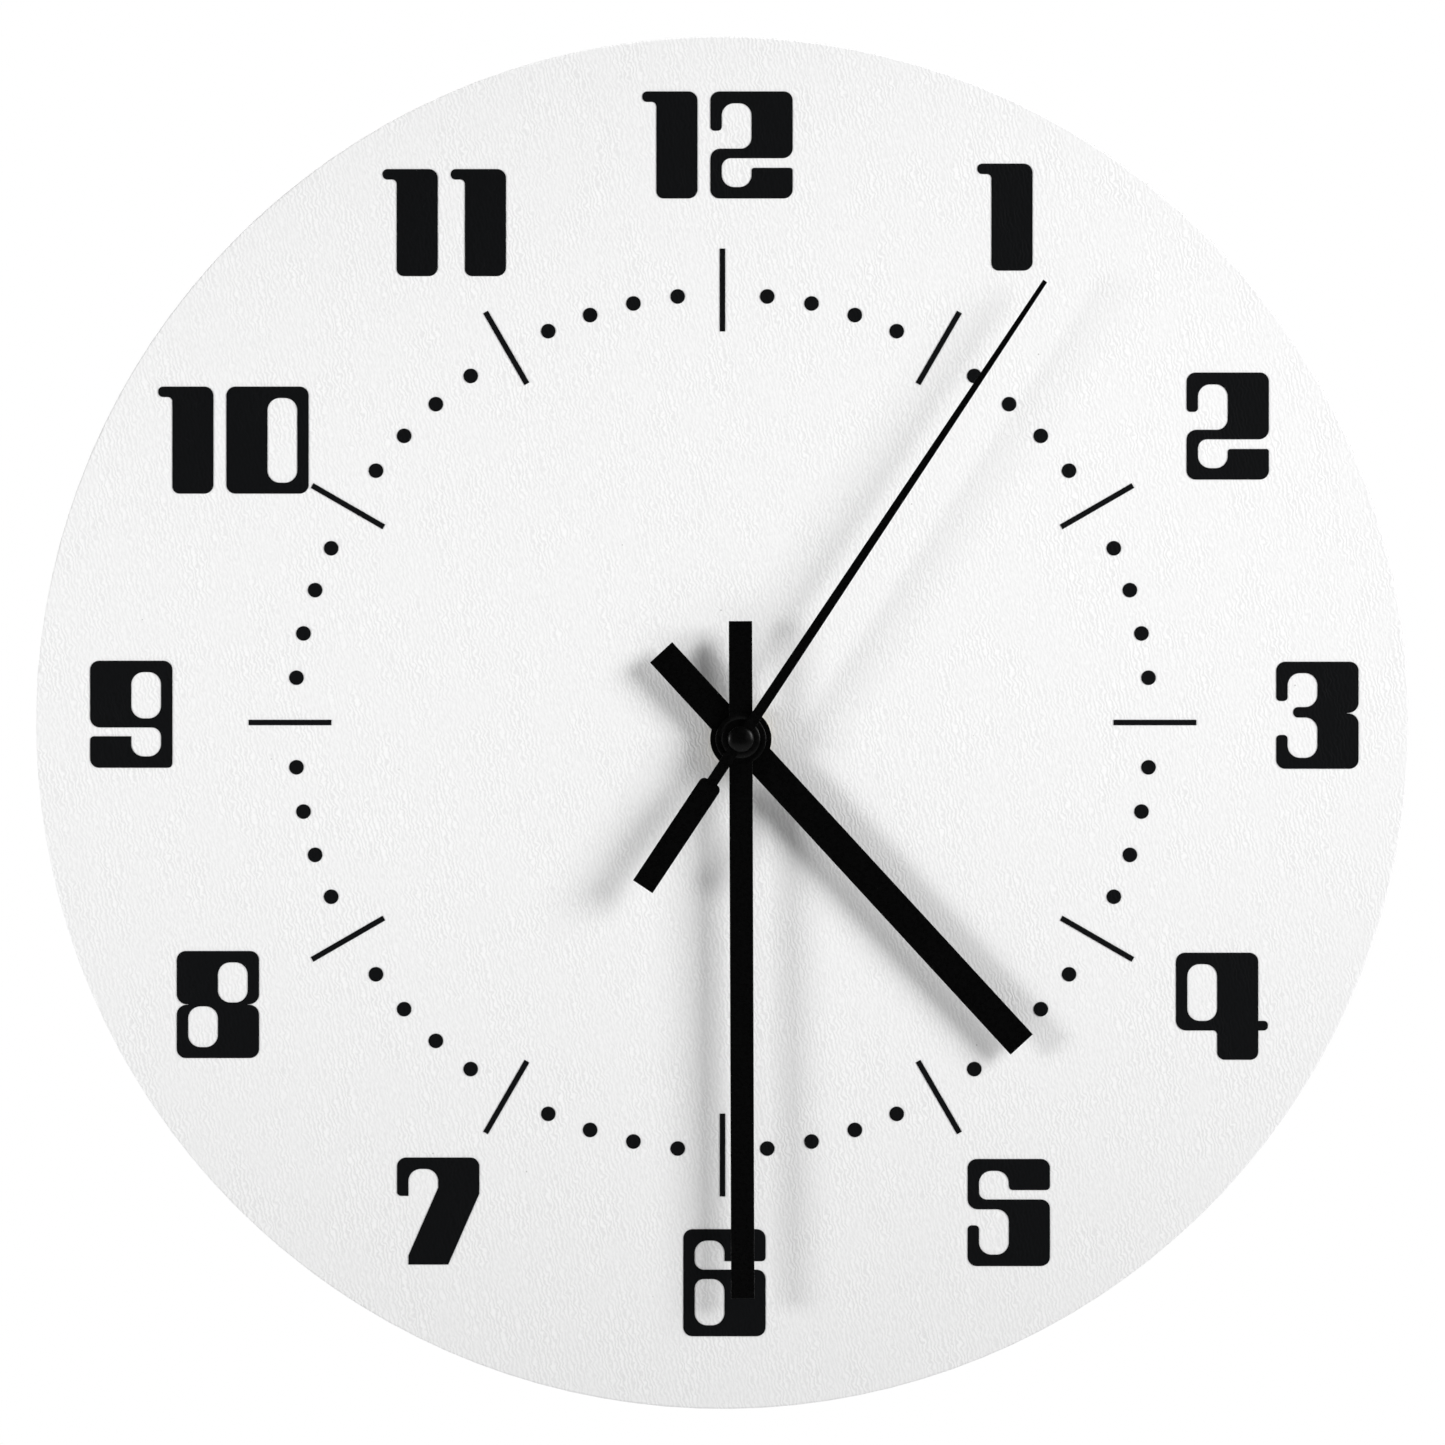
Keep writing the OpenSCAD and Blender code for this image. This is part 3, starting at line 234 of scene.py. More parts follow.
def battery_sleeve():
    """Printed shrink sleeve: dark petrol blue with a copper band round the positive third."""
    low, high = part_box("battery")
    material, tree, shader = finish("printed_shrink_sleeve", roughness=0.28, Coat_Weight=0.4)
    where = place(tree)
    axis = add(tree, "ShaderNodeSeparateXYZ", {"Vector": where}).outputs["X"]
    edge = low.x + 0.68 * (high.x - low.x)
    band = remap(tree, axis, edge, edge + 0.1 * MM, 0, 1)
    # a thin silver line runs round just short of the band
    line_at = edge - 1.1 * MM
    half_line = 0.35 * MM
    line = add(tree, "ShaderNodeMath", {0: axis, 1: line_at, 2: half_line}, operation="COMPARE")
    cloud = grain(tree, where, (9, 3, 3))
    blue = between(tree, remap(tree, cloud, 0.3, 0.7, 0, 1), "#10252F", "#163240")
    lined = between(tree, line.outputs[0], blue, "#B9C4C8")
    feed(tree, shader, "Base Color", between(tree, band, lined, "#A8643A"))
    feed(tree, shader, "Roughness", remap(tree, cloud, 0.3, 0.7, 0.22, 0.34))
    relief(tree, shader, cloud, 0.02)
    return material


def wound_wire():
    """Enamelled copper wire 0.3 mm across, wound side by side round an axis along X, with painted
    shade between the turns.
    """
    material, tree, shader = finish("enamelled_copper_wire", metallic=1.0, roughness=0.3)
    where = place(tree)
    turns = add(tree, "ShaderNodeTexWave", {
        "Vector": where, "Scale": band_scale(0.3), "Distortion": 0.4},
        wave_type="BANDS", bands_direction="X").outputs["Fac"]
    # painted shade and painted highlight: each turn is dark where it meets the next and bright on its
    # crown
    feed(tree, shader, "Base Color", between(tree, turns, "#5E2410", "#B5602F"))
    relief(tree, shader, turns, 0.08)
    return material


FINISHES = {
    "board": fibreboard(),
    "face_sheet": printed_sheet(),
    "print_ink": print_ink(),
    "hand_paint": hand_paint(),
    # injection moulded ABS with a spark-eroded skin, drawn coarser than its real 0.1 mm so it shows
    "case_plastic": moulded("moulded_black_abs", "#111214", "#16171A", 0.5, 0.35, 0.03),
    "lid_plastic": moulded("moulded_black_abs_lid", "#151618", "#1A1B1D", 0.46, 0.35, 0.03),
    "plate_plastic": moulded("moulded_natural_abs", "#D9D2BC", "#E2DCC8", 0.45, 0.5, 0.01),
    # acetal is milky and a little waxy
    "gear_plastic": moulded("moulded_acetal", "#E6E5DF", "#EFEEE9", 0.35, 0.6, 0.006,
                            Subsurface_Weight=0.15, Subsurface_Scale=0.001),
    "knob_plastic": moulded("moulded_white_acetal", "#C9C9C6", "#D4D4D1", 0.38, 0.5, 0.01,
                            Subsurface_Weight=0.1, Subsurface_Scale=0.001),
    "bobbin_plastic": moulded("moulded_nylon", "#DAD8CC", "#E4E2D8", 0.4, 0.5, 0.01),
    "rubber": moulded("black_nitrile_rubber", "#141414", "#1B1B1B", 0.72, 0.5, 0.03),
    "chip_epoxy": moulded("black_epoxy_drop", "#0B0B0C", "#101011", 0.25, 0.9, 0.01),
    "board_green": moulded("green_solder_mask", "#0E3B22", "#12462A", 0.3, 0.8, 0.01),
    # metals: bright but not polished, each with marks along the way it was worked
    "steel": drawn("ground_steel", "#C4C4C2", "#AEAEAC", 0.24, (0.4, 3, 0.4), 0.002),
    "brass": drawn("tarnished_brass", "#B0A482", "#918560", 0.34, (0.5, 0.12, 0.5), 0.003),
    "spring_bronze": drawn("phosphor_bronze_strip", "#C68A5A", "#AF744A", 0.3, (2.5, 0.3, 0.3), 0.003),
    "contact_nickel": drawn("nickel_plated_strip", "#CFCBC0", "#B9B5AA", 0.22, (0.3, 0.3, 2.5), 0.002),
    # bright zinc has a fine spangle and faint rolling marks
    "hanger_zinc": drawn("bright_zinc_plate", "#C9CCD0", "#A9AEB4", 0.33, (4, 0.4, 0.25), 0.004),
    "screw_brass": drawn("brass_plated_screw", "#D2AE60", "#BA9348", 0.3, (0.3, 0.3, 0.3), 0.004),
    "crystal_can": drawn("tinned_can", "#D2D2D0", "#C0C0BE", 0.25, (0.3, 0.3, 2), 0.002),
    "core_steel": drawn("stamped_core_steel", "#9A9A9C", "#85858A", 0.42, (1.5, 0.3, 0.3), 0.005),
    "magnet": drawn("sintered_magnet", "#5A5A5E", "#4A4A4E", 0.5, (0.4, 0.4, 0.4), 0.01),
    "copper_wire": wound_wire(),
    "battery_wrap": battery_sleeve(),
}
# end of the cell: nickel plated deep drawn can, brighter than the contacts
CELL_END = drawn("nickel_plated_can", "#D8D6CF", "#C6C4BC", 0.2, (0.5, 0.5, 0.5), 0.002)

for row in frame["record"]["subparts"]:
    node = frame["nodes"][row["node"]]
    node.data.materials.clear()
    node.data.materials.append(FINISHES[row["material_slot"]])


# ---- Modelling ----

def begin(primitive, name, **how):
    """Adds a primitive with nothing else selected, and opens it with its place in its mesh."""
    bpy.ops.object.select_all(action="DESELECT")
    primitive(**how)
    return reopen(bpy.context.object, name)


def reopen(piece, name):
    """Settles a piece's place and turn into its mesh, and opens it all selected."""
    piece.name = piece.data.name = name
    bpy.ops.object.transform_apply()
    bpy.ops.object.mode_set(mode="EDIT")
    bpy.ops.mesh.select_all(action="SELECT")
    return piece


def middle(part):
    """Middle of a point, an edge or a face."""
    points = [part] if isinstance(part, bmesh.types.BMVert) else part.verts
    return sum((point.co for point in points), Vector()) / len(points)


def pick(kind, test):
    """Selects only the VERT, EDGE or FACE parts that pass the test."""
    bpy.ops.mesh.select_mode(type=kind)
    bpy.ops.mesh.select_all(action="DESELECT")
    data = bpy.context.object.data
    mesh = bmesh.from_edit_mesh(data)
    parts = {"VERT": mesh.verts, "EDGE": mesh.edges, "FACE": mesh.faces}[kind]
    for part in parts:
        if test(part):
            part.select_set(True)
    mesh.select_flush_mode()
    bmesh.update_edit_mesh(data)


def runs(edge, axis, least):
    """Whether an edge spans more than least along an axis, x, y or z."""
    return abs(getattr(edge.verts[0].co - edge.verts[1].co, axis)) > least


def corner(edge, least=30):
    """Whether two faces meet at an edge by at least that many degrees."""
    return len(edge.link_faces) == 2 and edge.calc_face_angle() > math.radians(least)


def pull(x=0.0, y=0.0, z=0.0):
    """Extrudes what is selected by an offset."""
    bpy.ops.mesh.extrude_region_move(TRANSFORM_OT_translate={"value": (x, y, z)})


def spread(about, x=1.0, y=1.0, z=1.0):
    """Scales what is selected about a point."""
    bpy.ops.transform.resize(value=(x, y, z), center_override=about)


def rounded(width, segments=2):
    """Bevels the selected edges."""
    bpy.ops.mesh.bevel(offset=width, segments=segments, affect="EDGES", clamp_overlap=True)


def close(piece, smooth=35):
    """Welds doubles, turns the faces outwards and leaves edit mode."""
    bpy.ops.mesh.select_mode(type="VERT")
    bpy.ops.mesh.select_all(action="SELECT")
    bpy.ops.mesh.remove_doubles(threshold=1e-6)
    bpy.ops.mesh.normals_make_consistent(inside=False)
    bpy.ops.object.mode_set(mode="OBJECT")
    bpy.ops.object.shade_smooth_by_angle(angle=math.radians(smooth))
    return piece


def even(piece):
    """Keeps flat faces flat in their shading where a small bevel meets them."""
    bpy.ops.object.select_all(action="DESELECT")
    bpy.context.view_layer.objects.active = piece
    piece.select_set(True)
    bpy.ops.object.shade_smooth_by_angle(angle=math.radians(40))
    weigh = piece.modifiers.new("even", "WEIGHTED_NORMAL")
    weigh.keep_sharp = True
    weigh.weight = 100
    bpy.ops.object.modifier_apply(modifier=weigh.name)


def hand_over(piece, body, slot, *nodes, paint=None):
    """Gives a closed piece its finish and its body, and says which nodes it stands for."""
    even(piece)
    piece.data.materials.clear()
    piece.data.materials.append(paint or FINISHES[slot])
    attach(piece, body)
    if nodes:
        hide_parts(*nodes)
    return piece


def turned(name, centre, profile, sides=64, axis="Y"):
    """Turns a solid round an axis through centre: (radius, place along the axis) from end to end."""
    radius, start = profile[0]
    along = Vector((0, 1, 0)) if axis == "Y" else Vector((1, 0, 0))
    flat = centre - along * centre.dot(along)
    turn = (QUARTER, 0, 0) if axis == "Y" else (0, QUARTER, 0)
    piece = begin(bpy.ops.mesh.primitive_circle_add, name, vertices=sides, radius=radius,
                  fill_type="NGON", location=flat + along * start, rotation=turn)
    for wide, stop in profile[1:]:
        pull(*(along * (stop - start)))
        spread(flat + along * stop, *[1 if part else wide / radius for part in along])
        radius, start = wide, stop
    return piece


def copied(node, name):
    """Copies a CAD node and welds it, ready to be cut."""
    bpy.ops.object.select_all(action="DESELECT")
    piece = frame["nodes"][node].copy()
    piece.data = piece.data.copy()
    bpy.context.scene.collection.objects.link(piece)
    piece.parent = None
    bpy.context.view_layer.objects.active = piece
    piece.select_set(True)
    reopen(piece, name)
    bpy.ops.mesh.customdata_custom_splitnormals_clear()
    return close(piece)


def carve(piece, cutter, way="DIFFERENCE"):
    """Cuts one closed piece by another, and removes the cutter."""
    bpy.ops.object.select_all(action="DESELECT")
    bpy.context.view_layer.objects.active = piece
    piece.select_set(True)
    cut = piece.modifiers.new("carve", "BOOLEAN")
    cut.operation = way
    cut.solver = "EXACT"
    cut.object = cutter
    bpy.ops.object.modifier_apply(modifier=cut.name)
    bpy.data.objects.remove(cutter, do_unlink=True)


def flared(name, low, high, flare, radius=0.0, rise=1.0):
    """A cutter for a pocket: a box from low to high whose mouth at high Y opens out by flare.

    radius rounds its corners, and rise is how many millimetres it stands above its mouth."""
    size = [h - l for l, h in zip(low, high)]
    centre = [(l + h) / 2 for l, h in zip(low, high)]
    piece = begin(bpy.ops.mesh.primitive_cube_add, name, size=1, location=centre, scale=size)
    if radius:
        pick("EDGE", lambda edge: runs(edge, "y", size[1] / 2))
        rounded(radius, 4)
    pick("FACE", lambda face: face.normal.y > 0.9)
    pull(y=flare)
    spread((centre[0], high[1] + flare, centre[2]),
           x=1 + 2 * flare / size[0], z=1 + 2 * flare / size[2])
    pull(y=rise * MM)
    return close(piece)


def bar(name, low, high, width):
    """A bevelled bar that fills the box from low to high."""
    size = [h - l for l, h in zip(low, high)]
    piece = begin(bpy.ops.mesh.primitive_cube_add, name, size=1,
                  location=[(l + h) / 2 for l, h in zip(low, high)], scale=size)
    rounded(width, 2)
    return close(piece)


def joined(name, parts):
    """Joins closed parts into one piece."""
    bpy.ops.object.select_all(action="DESELECT")
    for part in parts:
        part.select_set(True)
    bpy.context.view_layer.objects.active = parts[0]
    bpy.ops.object.join()
    parts[0].name = parts[0].data.name = name
    return parts[0]


# ---- Hands ----

ARBOR = sum(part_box("second_arbor"), Vector()) / 2
HUB_SIDES = 96


def stamped_hand(name, node, body, hub, bore, up, down, angle, coin=None):
    """Stamps a hand from sheet: a hub disc, and limbs pulled up and down through (half width, reach).

    The limbs are drawn upright, and then turned clockwise by angle as the dial is read."""
    front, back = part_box(node)[0].y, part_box(node)[1].y
    piece = begin(bpy.ops.mesh.primitive_circle_add, name, vertices=HUB_SIDES, radius=hub,
                  fill_type="NGON", location=(0, back, 0), rotation=(QUARTER, 0, 0))
    rings = [*(coin or []), bore]
    for outer, inner in zip([hub, *rings], rings):
        bpy.ops.mesh.inset(thickness=outer - inner)
    bpy.ops.mesh.delete(type="FACE")
    for side, limb in ((1, up), (-1, down)):
        step = 2 * math.pi / HUB_SIDES
        root = limb[0][0]
        reach = hub * math.sin(round(math.asin(root / hub) / step) * step) + 1e-6
        pick("EDGE", lambda edge: all(
            abs(p.co.x) <= reach and side * p.co.z > hub / 2 and (p.co.xz.length > hub - 1e-5)
            for p in edge.verts))
        spread((0, back, 0), x=root / reach)
        wide, far = root, hub
        for half, stop in limb:
            pull(z=side * (stop - far))
            spread((0, back, side * stop), x=half / wide, z=0)
            wide, far = half, stop
    bpy.ops.mesh.select_all(action="SELECT")
    pull(y=front - back)
    if coin:
        pick("VERT", lambda point: point.co.y < front + 1e-6
             and abs(point.co.xz.length - coin[1]) < 1e-5)
        bpy.ops.transform.translate(value=(0, 0.12 * MM, 0))
    pick("EDGE", lambda edge: corner(edge, 60))
    rounded(0.1 * MM, 2)
    close(piece)
    piece.location = (ARBOR.x, 0, ARBOR.z)
    piece.rotation_euler.y = math.radians(angle)
    bpy.ops.object.transform_apply()
    return hand_over(piece, body, "hand_paint", node)


TAIL = 25.7 * MM
stamped_hand("hour_hand_blade", "hour_hand", "hour_hand", hub=6.7 * MM, bore=2.62 * MM,
             up=[(3.3 * MM, 90.5 * MM)], down=[(3.3 * MM, TAIL)], angle=137.4,
             coin=[5.2 * MM, 4.9 * MM, 4.6 * MM])
stamped_hand("minute_hand_blade", "minute_hand", "minute_hand", hub=5.5 * MM, bore=1.62 * MM,
             up=[(2.55 * MM, 121.9 * MM)], down=[(2.55 * MM, TAIL)], angle=179.8,
             coin=[4.5 * MM, 4.2 * MM, 3.9 * MM])
# the counterweight starts in a rounded shoulder, drawn in four steps
SHOULDER = [(1.275 * MM, 11.2 * MM)] + [
    ((1.275 + 1.275 * math.sin(t)) * MM, (11.2 + 1.3 * (1 - math.cos(t))) * MM)
    for t in (math.radians(d) for d in (30, 55, 75, 90))]
stamped_hand("second_hand_blade", "second_hand", "second_hand", hub=2.6 * MM, bore=1.32 * MM,
             up=[(1.2 * MM, 3.2 * MM), (0.525 * MM, 119.7 * MM)],
             down=SHOULDER + [(2.55 * MM, 38.6 * MM)], angle=33.6)


def second_hand_cap():
    """The socket pressed on the second arbor: a short tube behind the hand, a low dome before it."""
    low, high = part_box("second_hand_socket")
    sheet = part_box("second_hand")[0].y
    tube = [(1.2 * MM, high.y), (1.3 * MM, high.y - 0.1 * MM), (1.3 * MM, sheet),
            (2.7 * MM, sheet), (2.8 * MM, sheet - 0.1 * MM)]
    dome = [(2.8 * MM, sheet - 0.25 * MM), (2.72 * MM, sheet - 0.42 * MM),
            (2.5 * MM, sheet - 0.55 * MM), (2.0 * MM, sheet - 0.7 * MM),
            (1.3 * MM, sheet - 0.83 * MM), (0.6 * MM, low.y)]
    return close(turned("second_hand_cap", ARBOR, tube + dome))


hand_over(second_hand_cap(), "second_hand", "hand_paint", "second_hand_socket")


# ---- Rear case ----

BODY = "movement_and_dial"
case_low, case_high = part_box("rear_case")
cell_low, cell_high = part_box("battery")
knob_low, knob_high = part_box("setting_knob")
knob_at = (knob_low + knob_high) / 2

rear = copied("rear_case", "rear_case_shell")
# a moulded edge has a radius: the case is trimmed to a block with a rounded back rim
trim = 0.02 * MM
block = begin(bpy.ops.mesh.primitive_cube_add, "rounded_block", size=1,
              location=[(l + h) / 2 for l, h in zip(case_low, case_high)],
              scale=[h - l + 2 * trim for l, h in zip(case_low, case_high)])
pick("EDGE", lambda edge: runs(edge, "y", 5 * MM))
rounded(3.98 * MM, 10)
bpy.ops.mesh.select_all(action="SELECT")
bpy.ops.transform.translate(value=(0, -trim, 0))
pick("EDGE", lambda edge: corner(edge) and all(p.co.y > case_high.y - MM for p in edge.verts))
rounded(0.7 * MM, 4)
close(block)
carve(rear, block, "INTERSECT")

# the mouths of the battery bay and of the knob's pocket are chamfered
chamfer = 0.4 * MM
bay_low = Vector((cell_low.x - 1.25 * MM, -6 * MM, cell_low.z - 0.35 * MM))
bay_high = Vector((cell_high.x + 1.25 * MM, -chamfer, cell_high.z + 0.35 * MM))
carve(rear, flared("bay_mouth", bay_low, bay_high, flare=chamfer, radius=0.6 * MM))
mouth = turned("pocket_mouth", knob_at, [(4.7 * MM, -0.6 * MM), (4.7 * MM, -chamfer),
                                         (5.1 * MM, 0), (5.1 * MM, MM)])
carve(rear, close(mouth))


def mark(name, x, z, upright):
    """An engraved sign of polarity: a bar, crossed by a second one for plus."""
    half = 2.6 * MM
    wide = 0.5 * MM
    deep = 0.5 * MM
    bars = [bar(name, (x - half, -deep, z - wide), (x + half, MM, z + wide), 0.1 * MM)]
    if upright:
        bars.append(bar(name + "_upright", (x - wide, -deep, z - half),
                        (x + wide, MM, z + half), 0.1 * MM))
    return bars


def arrow(name, start, sweep):
    """An engraved arrow curved round the knob, from start through sweep degrees."""
    inner = 6.2 * MM
    outer = 7.0 * MM
    deep = 0.45 * MM
    tall = 1.5 * MM
    head_long = 2.0 * MM
    about = (knob_at.x, 0, knob_at.z)
    turn = math.copysign(1, sweep)
    piece = begin(bpy.ops.mesh.primitive_cube_add, name, size=1,
                  scale=(outer - inner, tall, 0.02 * MM),
                  location=(knob_at.x + (inner + outer) / 2, tall / 2 - deep, knob_at.z))
    pick("FACE", lambda face: face.normal.z * turn > 0.9)
    bpy.ops.mesh.spin(steps=16, angle=math.radians(sweep), center=about, axis=(0, 1, 0))
    head = Vector((math.cos(math.radians(sweep)), 0, math.sin(math.radians(sweep))))
    ahead = Vector((-head.z, 0, head.x)) * turn
    mid = Vector(about) + head * (inner + outer) / 2
    # the head widens at once, and tapers to its tip
    pull()
    spread(mid, x=2.8, z=2.8)
    pull(*(ahead * head_long))
    spread(mid + ahead * head_long, x=0.02, z=0.02)
    close(piece)
    bpy.ops.object.mode_set(mode="EDIT")
    bpy.ops.mesh.select_all(action="SELECT")
    bpy.ops.transform.translate(value=[-c for c in about])
    bpy.ops.object.mode_set(mode="OBJECT")
    piece.location = about
    piece.rotation_euler.y = -math.radians(start)
    bpy.ops.object.transform_apply()
    return piece


SIGN_IN = 3.2 * MM
SIGN_UP = 5.4 * MM
for name, sign_x in (("plus_mark", cell_high.x - SIGN_IN), ("minus_mark", cell_low.x + SIGN_IN)):
    for cutter in mark(name, sign_x, cell_high.z + SIGN_UP, name == "plus_mark"):
        carve(rear, cutter)
for name, start, sweep in (("arrow_one_way", 8, 54), ("arrow_other_way", 172, -54)):
    carve(rear, arrow(name, start, sweep))
# a shallow blank panel, where such a case takes its label
carve(rear, flared("blank_panel", (-12 * MM, -0.3 * MM, -7 * MM), (20 * MM, -0.1 * MM, 5 * MM),
                   flare=0.1 * MM))
bpy.ops.object.mode_set(mode="EDIT")
close(rear, 30)
hand_over(rear, BODY, "case_plastic", "rear_case")


# ---- Setting knob ----

def knurled_knob():
    """A moulded wheel with eighteen grip grooves and a coin slot, on its stem."""
    grips = 18
    per = 4
    radius = (knob_high.x - knob_low.x) / 2
    back = -0.3 * MM
    front = back - 2.7 * MM
    stem = [(1.5 * MM, front), (1.5 * MM, -10.3 * MM), (0.7 * MM, -10.35 * MM),
            (0.7 * MM, knob_low.y)]
    piece = turned("knurled_setting_knob", knob_at, [(radius, back), (radius, front)] + stem,
                   sides=grips * per)

    def groove(face):
        """Whether a face of the rim is the one in every four that is a grip groove."""
        out = middle(face) - knob_at
        turn = math.atan2(out.z, out.x) / (2 * math.pi) * grips
        return abs(face.normal.y) < 0.1 and out.xz.length > 3 * MM and (turn % 1) < 1 / per + 0.01

    pick("FACE", groove)
    bpy.ops.mesh.inset(thickness=0.03 * MM, use_individual=True)
    spread((knob_at.x, 0, knob_at.z), x=0.92, z=0.92)
    pick("EDGE", lambda edge: corner(edge, 60) and all(
        p.co.y > back - 1e-6 or abs(p.co.y - front) < 1e-6 for p in edge.verts)
        and all((p.co - knob_at).xz.length > 3 * MM for p in edge.verts))
    rounded(0.2 * MM, 2)
    close(piece)
    x, z = knob_at.x, knob_at.z
    carve(piece, bar("coin_slot", (x - 2.6 * MM, back - 0.7 * MM, z - 0.5 * MM),
                     (x + 2.6 * MM, back + MM, z + 0.5 * MM), 0.12 * MM))
    return piece


hand_over(knurled_knob(), "setting_knob", "knob_plastic", "setting_knob")


# ---- Battery ----

def cell():
    """A round cell in two pieces: the can with its cap, and the sleeve shrunk over it."""
    centre = (cell_low + cell_high) / 2
    left, right = cell_low.x, cell_high.x
    shoulder = right - 1.3 * MM
    r = (cell_high.z - cell_low.z) / 2
    can = turned("cell_can", centre, [
        (5.2 * MM, left), (5.6 * MM, left + 0.08 * MM), (5.75 * MM, left + 0.3 * MM),
        (5.75 * MM, shoulder - 0.25 * MM), (3.3 * MM, shoulder - 0.25 * MM),
        (2.75 * MM, shoulder - 0.1 * MM), (2.7 * MM, shoulder), (2.7 * MM, right - 0.25 * MM),
        (2.6 * MM, right - 0.07 * MM), (2.45 * MM, right)], axis="X")
    close(can)
    hand_over(can, "battery", "battery_wrap", paint=CELL_END)
    sleeve = turned("cell_sleeve", centre, [
        (5.7 * MM, left + 0.3 * MM), (5.9 * MM, left + 0.12 * MM), (6.3 * MM, left + 0.06 * MM),
        (6.85 * MM, left + 0.12 * MM), (7.1 * MM, left + 0.35 * MM), (r, left + 0.8 * MM),
        (r, shoulder - 0.8 * MM), (7.1 * MM, shoulder - 0.35 * MM), (6.85 * MM, shoulder - 0.12 * MM),
        (6.3 * MM, shoulder - 0.05 * MM), (5.0 * MM, shoulder - 0.1 * MM),
        (4.9 * MM, shoulder - 0.25 * MM)], axis="X")
    close(sleeve)
    hand_over(sleeve, "battery", "battery_wrap", "battery")


cell()


# ---- Hanger ----

SCREW_X = 17 * MM


def pressed_hanger():
    """A strip pressed up in the middle, with rounded bends and a keyhole for the wall screw."""
    low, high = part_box("hanger_plate")
    sheet = 1.0 * MM
    raise_by = high.y - low.y - sheet
    bend_out = 12 * MM
    bend_in = 9 * MM
    top = high.z - 8.5 * MM
    head_z = -2.6 * MM
    slot_z = 5.2 * MM
    head_r = 4.2 * MM
    slot_r = 2.0 * MM
    piece = begin(bpy.ops.mesh.primitive_cube_add, "pressed_hanger", size=1,
                  location=((low.x + high.x) / 2, low.y + sheet / 2, (low.z + high.z) / 2),
                  scale=(high.x - low.x, sheet, high.z - low.z))
    for x in (-bend_out, -bend_in, bend_in, bend_out):
        bpy.ops.mesh.select_all(action="SELECT")
        bpy.ops.mesh.bisect(plane_co=(x, 0, 0), plane_no=(1, 0, 0))
    pick("VERT", lambda point: abs(point.co.x) < bend_in + 0.1 * MM)
    bpy.ops.transform.translate(value=(0, raise_by, 0))
    # the bends are rounded, and then the four corners of the strip
    pick("EDGE", lambda edge: corner(edge, 20) and runs(edge, "z", 5 * MM)
         and abs(middle(edge).x) < 20 * MM)
    rounded(0.9 * MM, 5)
    pick("EDGE", lambda edge: corner(edge, 60) and runs(edge, "y", 0.5 * MM)
         and abs(middle(edge).x) > 20 * MM)
    rounded(1.5 * MM, 5)
    pick("EDGE", lambda edge: corner(edge, 60))
    rounded(0.12 * MM, 2)
    close(piece)
    centre = Vector((0, 0, top))
    for z, r in ((head_z, head_r), (slot_z, slot_r)):
        hole = turned("hole", centre + Vector((0, 0, z)),
                      [(r, low.y - MM), (r, high.y + MM)], sides=48)
        carve(piece, close(hole))
    carve(piece, bar("slot", (-slot_r, low.y - MM, top + head_z),
                     (slot_r, high.y + MM, top + slot_z), 1e-6))
    for x in (-SCREW_X, SCREW_X):
        hole = turned("screw_hole", Vector((x, 0, top)),
                      [(1.4 * MM, low.y - MM), (1.4 * MM, high.y + MM)], sides=32)
        carve(piece, close(hole))
    return piece


hand_over(pressed_hanger(), BODY, "hanger_zinc", "hanger_plate")


def pan_head_screws():
    """Two small screws with domed heads and cross recesses."""
    low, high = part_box("hanger_screws")
    parts = []
    top = high.y
    for x in (-SCREW_X, SCREW_X):
        at = Vector((x, 0, (low.z + high.z) / 2))
        screw = close(turned("pan_head_screw", at, [
            (0.4 * MM, low.y), (1.1 * MM, low.y + 1.5 * MM), (1.15 * MM, top - 1.3 * MM),
            (2.5 * MM, top - 1.3 * MM), (2.6 * MM, top - 1.15 * MM), (2.6 * MM, top - 0.75 * MM),
            (2.35 * MM, top - 0.4 * MM), (1.8 * MM, top - 0.15 * MM), (0.9 * MM, top)], sides=48))
        for wide, tall in ((1.35, 0.32), (0.32, 1.35)):
            carve(screw, bar("recess", (at.x - wide * MM, top - 0.8 * MM, at.z - tall * MM),
                             (at.x + wide * MM, top + MM, at.z + tall * MM), 0.08 * MM))
        parts.append(screw)
    return joined("pan_head_screws", parts)


hand_over(pan_head_screws(), BODY, "screw_brass", "hanger_screws")


# ---- Floor, camera and light ----

def floor():
    """A wide pale floor, well below the clock."""
    piece = begin(bpy.ops.mesh.primitive_circle_add, "studio_floor", vertices=128, radius=3.5,
                  fill_type="NGON", location=(0, 0, -0.9))
    bpy.ops.mesh.inset(thickness=1.2)
    close(piece)
    material, tree, shader = finish("pale_studio_floor", roughness=0.9, Specular_IOR_Level=0.1)
    cloud = grain(tree, place(tree), (400, 400, 400))
    feed(tree, shader, "Base Color", between(tree, cloud, "#E8E8E8", "#EBEBEB"))
    piece.data.materials.append(material)


def softbox(name, place_at, size, power, aim=(0, 0, 0), spread_by=180):
    """A square soft light turned to a point on the clock; a grid in front narrows its spread."""
    lamp = bpy.data.lights.new(name, "AREA")
    lamp.size = size
    lamp.energy = power
    lamp.spread = math.radians(spread_by)
    holder = bpy.data.objects.new(name, lamp)
    bpy.context.scene.collection.objects.link(holder)
    holder.location = place_at
    holder.rotation_euler = (Vector(aim) - Vector(place_at)).to_track_quat("-Z", "Y").to_euler()


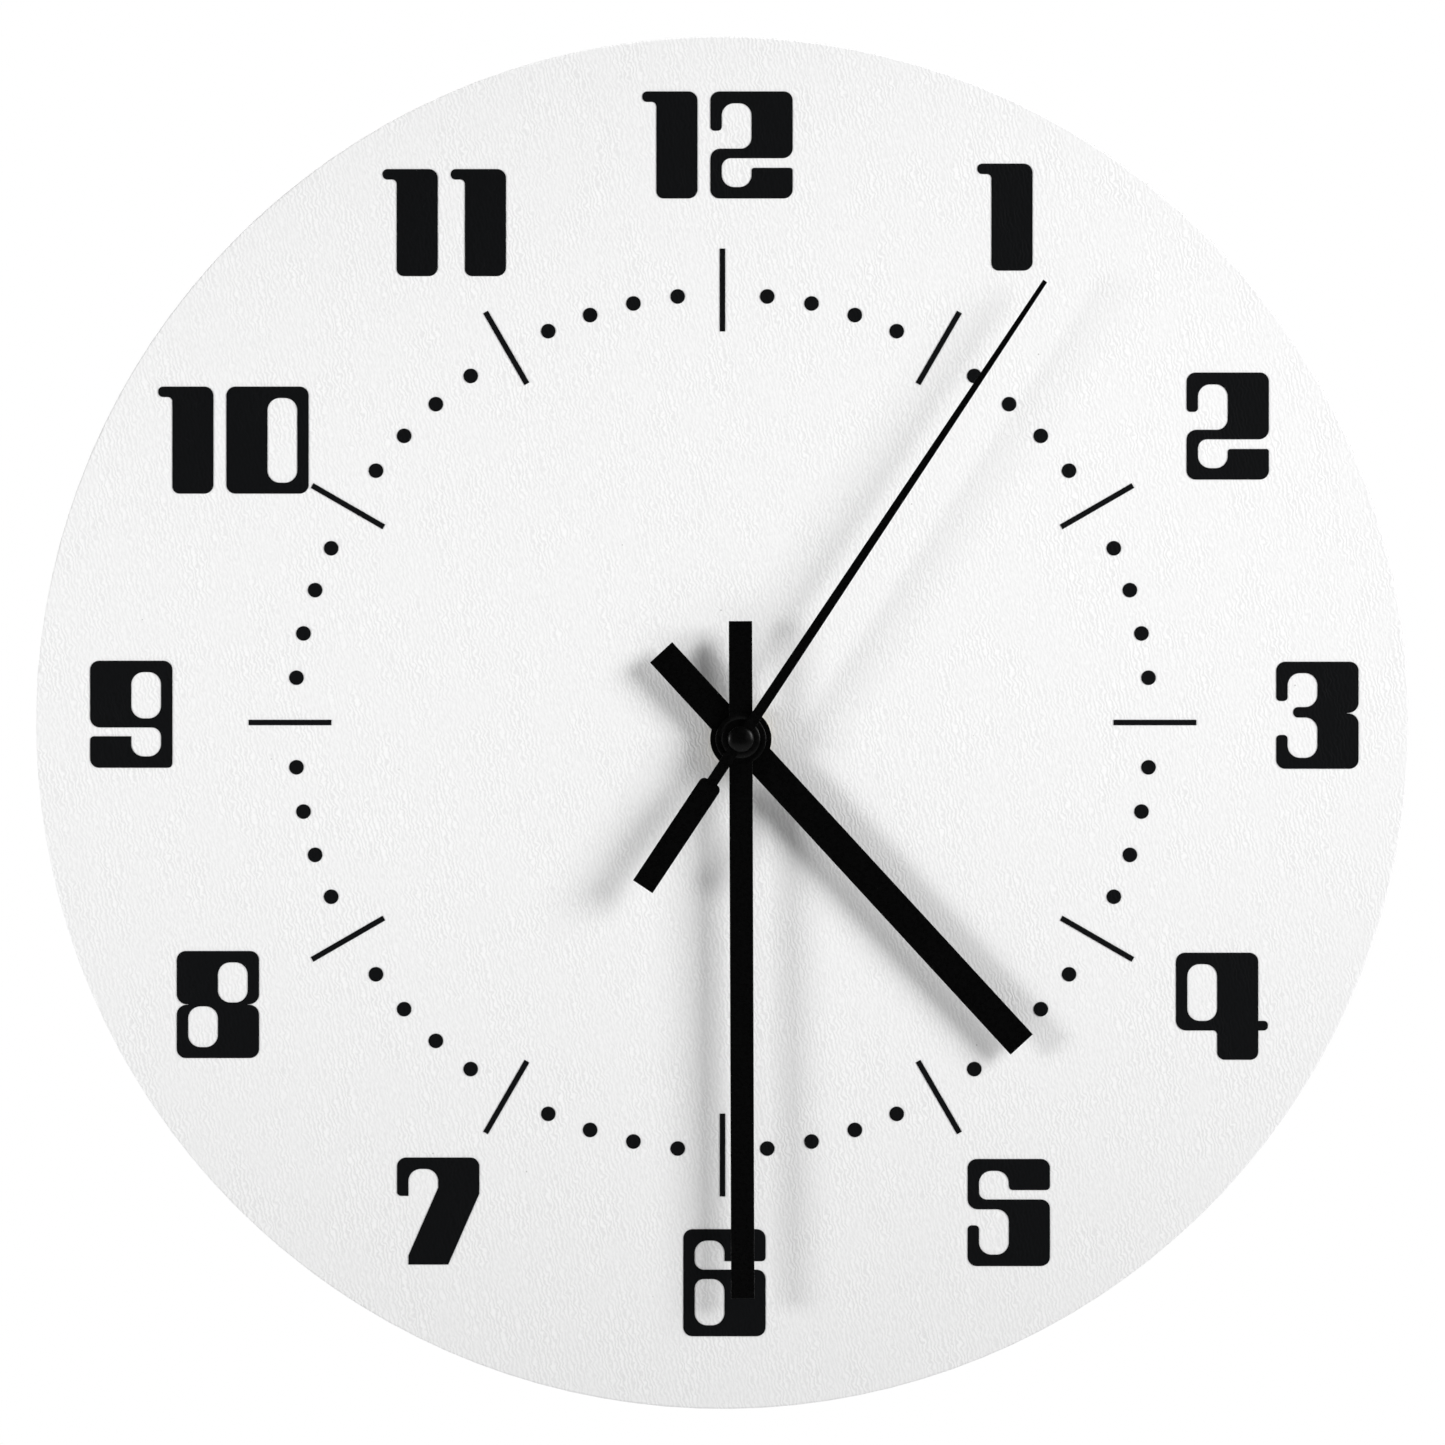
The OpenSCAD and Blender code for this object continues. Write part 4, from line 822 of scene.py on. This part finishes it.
def ceiling(power, tilt, soft):
    """Wide light down on the floor, tilted from behind so that the dial faces away from it."""
    lamp = bpy.data.lights.new("ceiling", "SUN")
    lamp.energy = power
    lamp.angle = math.radians(soft)
    holder = bpy.data.objects.new("ceiling", lamp)
    bpy.context.scene.collection.objects.link(holder)
    holder.location = (0, 0.5, 2)
    holder.rotation_euler = (-math.radians(tilt), 0, 0)


def surroundings(seen, lit):
    """A white room: seen is its brightness behind the clock, lit what it adds to the light."""
    world = bpy.data.worlds.new("white_room")
    bpy.context.scene.world = world
    world.use_nodes = True
    tree = world.node_tree
    tree.nodes.clear()
    glow = add(tree, "ShaderNodeBackground", {"Color": (1, 1, 1, 1), "Strength": lit})
    backdrop = add(tree, "ShaderNodeBackground", {"Color": (1, 1, 1, 1), "Strength": seen})
    ray = add(tree, "ShaderNodeLightPath")
    both = add(tree, "ShaderNodeMixShader", {
        0: ray.outputs["Is Camera Ray"], 1: glow.outputs[0], 2: backdrop.outputs[0]})
    add(tree, "ShaderNodeOutputWorld", {"Surface": both.outputs[0]})


def camera():
    """Straight in front of the dial, far off through a long lens, with a narrow margin round it."""
    away = 2.5
    view_width = 0.31574
    sensor = 36
    lens = bpy.data.cameras.new("front_camera")
    lens.sensor_width = sensor
    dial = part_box("dial_face")[0].y
    lens.lens = sensor * (away + dial) / view_width
    holder = bpy.data.objects.new("front_camera", lens)
    bpy.context.scene.collection.objects.link(holder)
    holder.location = (0, -away, 0)
    holder.rotation_euler = (QUARTER, 0, 0)
    bpy.context.scene.camera = holder


floor()
surroundings(seen=1.0, lit=0.02)
# the key light on the right and the fill on the left each draw a soft shadow of every hand
softbox("key_light", (0.74, -0.606, 0.29), size=0.5, power=1.58,
        aim=(0.02, 0, 0.03), spread_by=70)
softbox("fill_light", (-0.72, -0.48, 0.03), size=0.25, power=0.57,
        aim=(0, 0, 0.02), spread_by=70)
# the back and the floor have lights of their own, which the dial keeps off its front
softbox("back_key", (0.55, 0.9, 1.15), size=0.6, power=11.0)
softbox("back_fill", (-1.0, 0.55, -0.05), size=0.4, power=4.0)
ceiling(power=2.6, tilt=18, soft=25)
camera()
bpy.context.scene.view_settings.view_transform = "Standard"
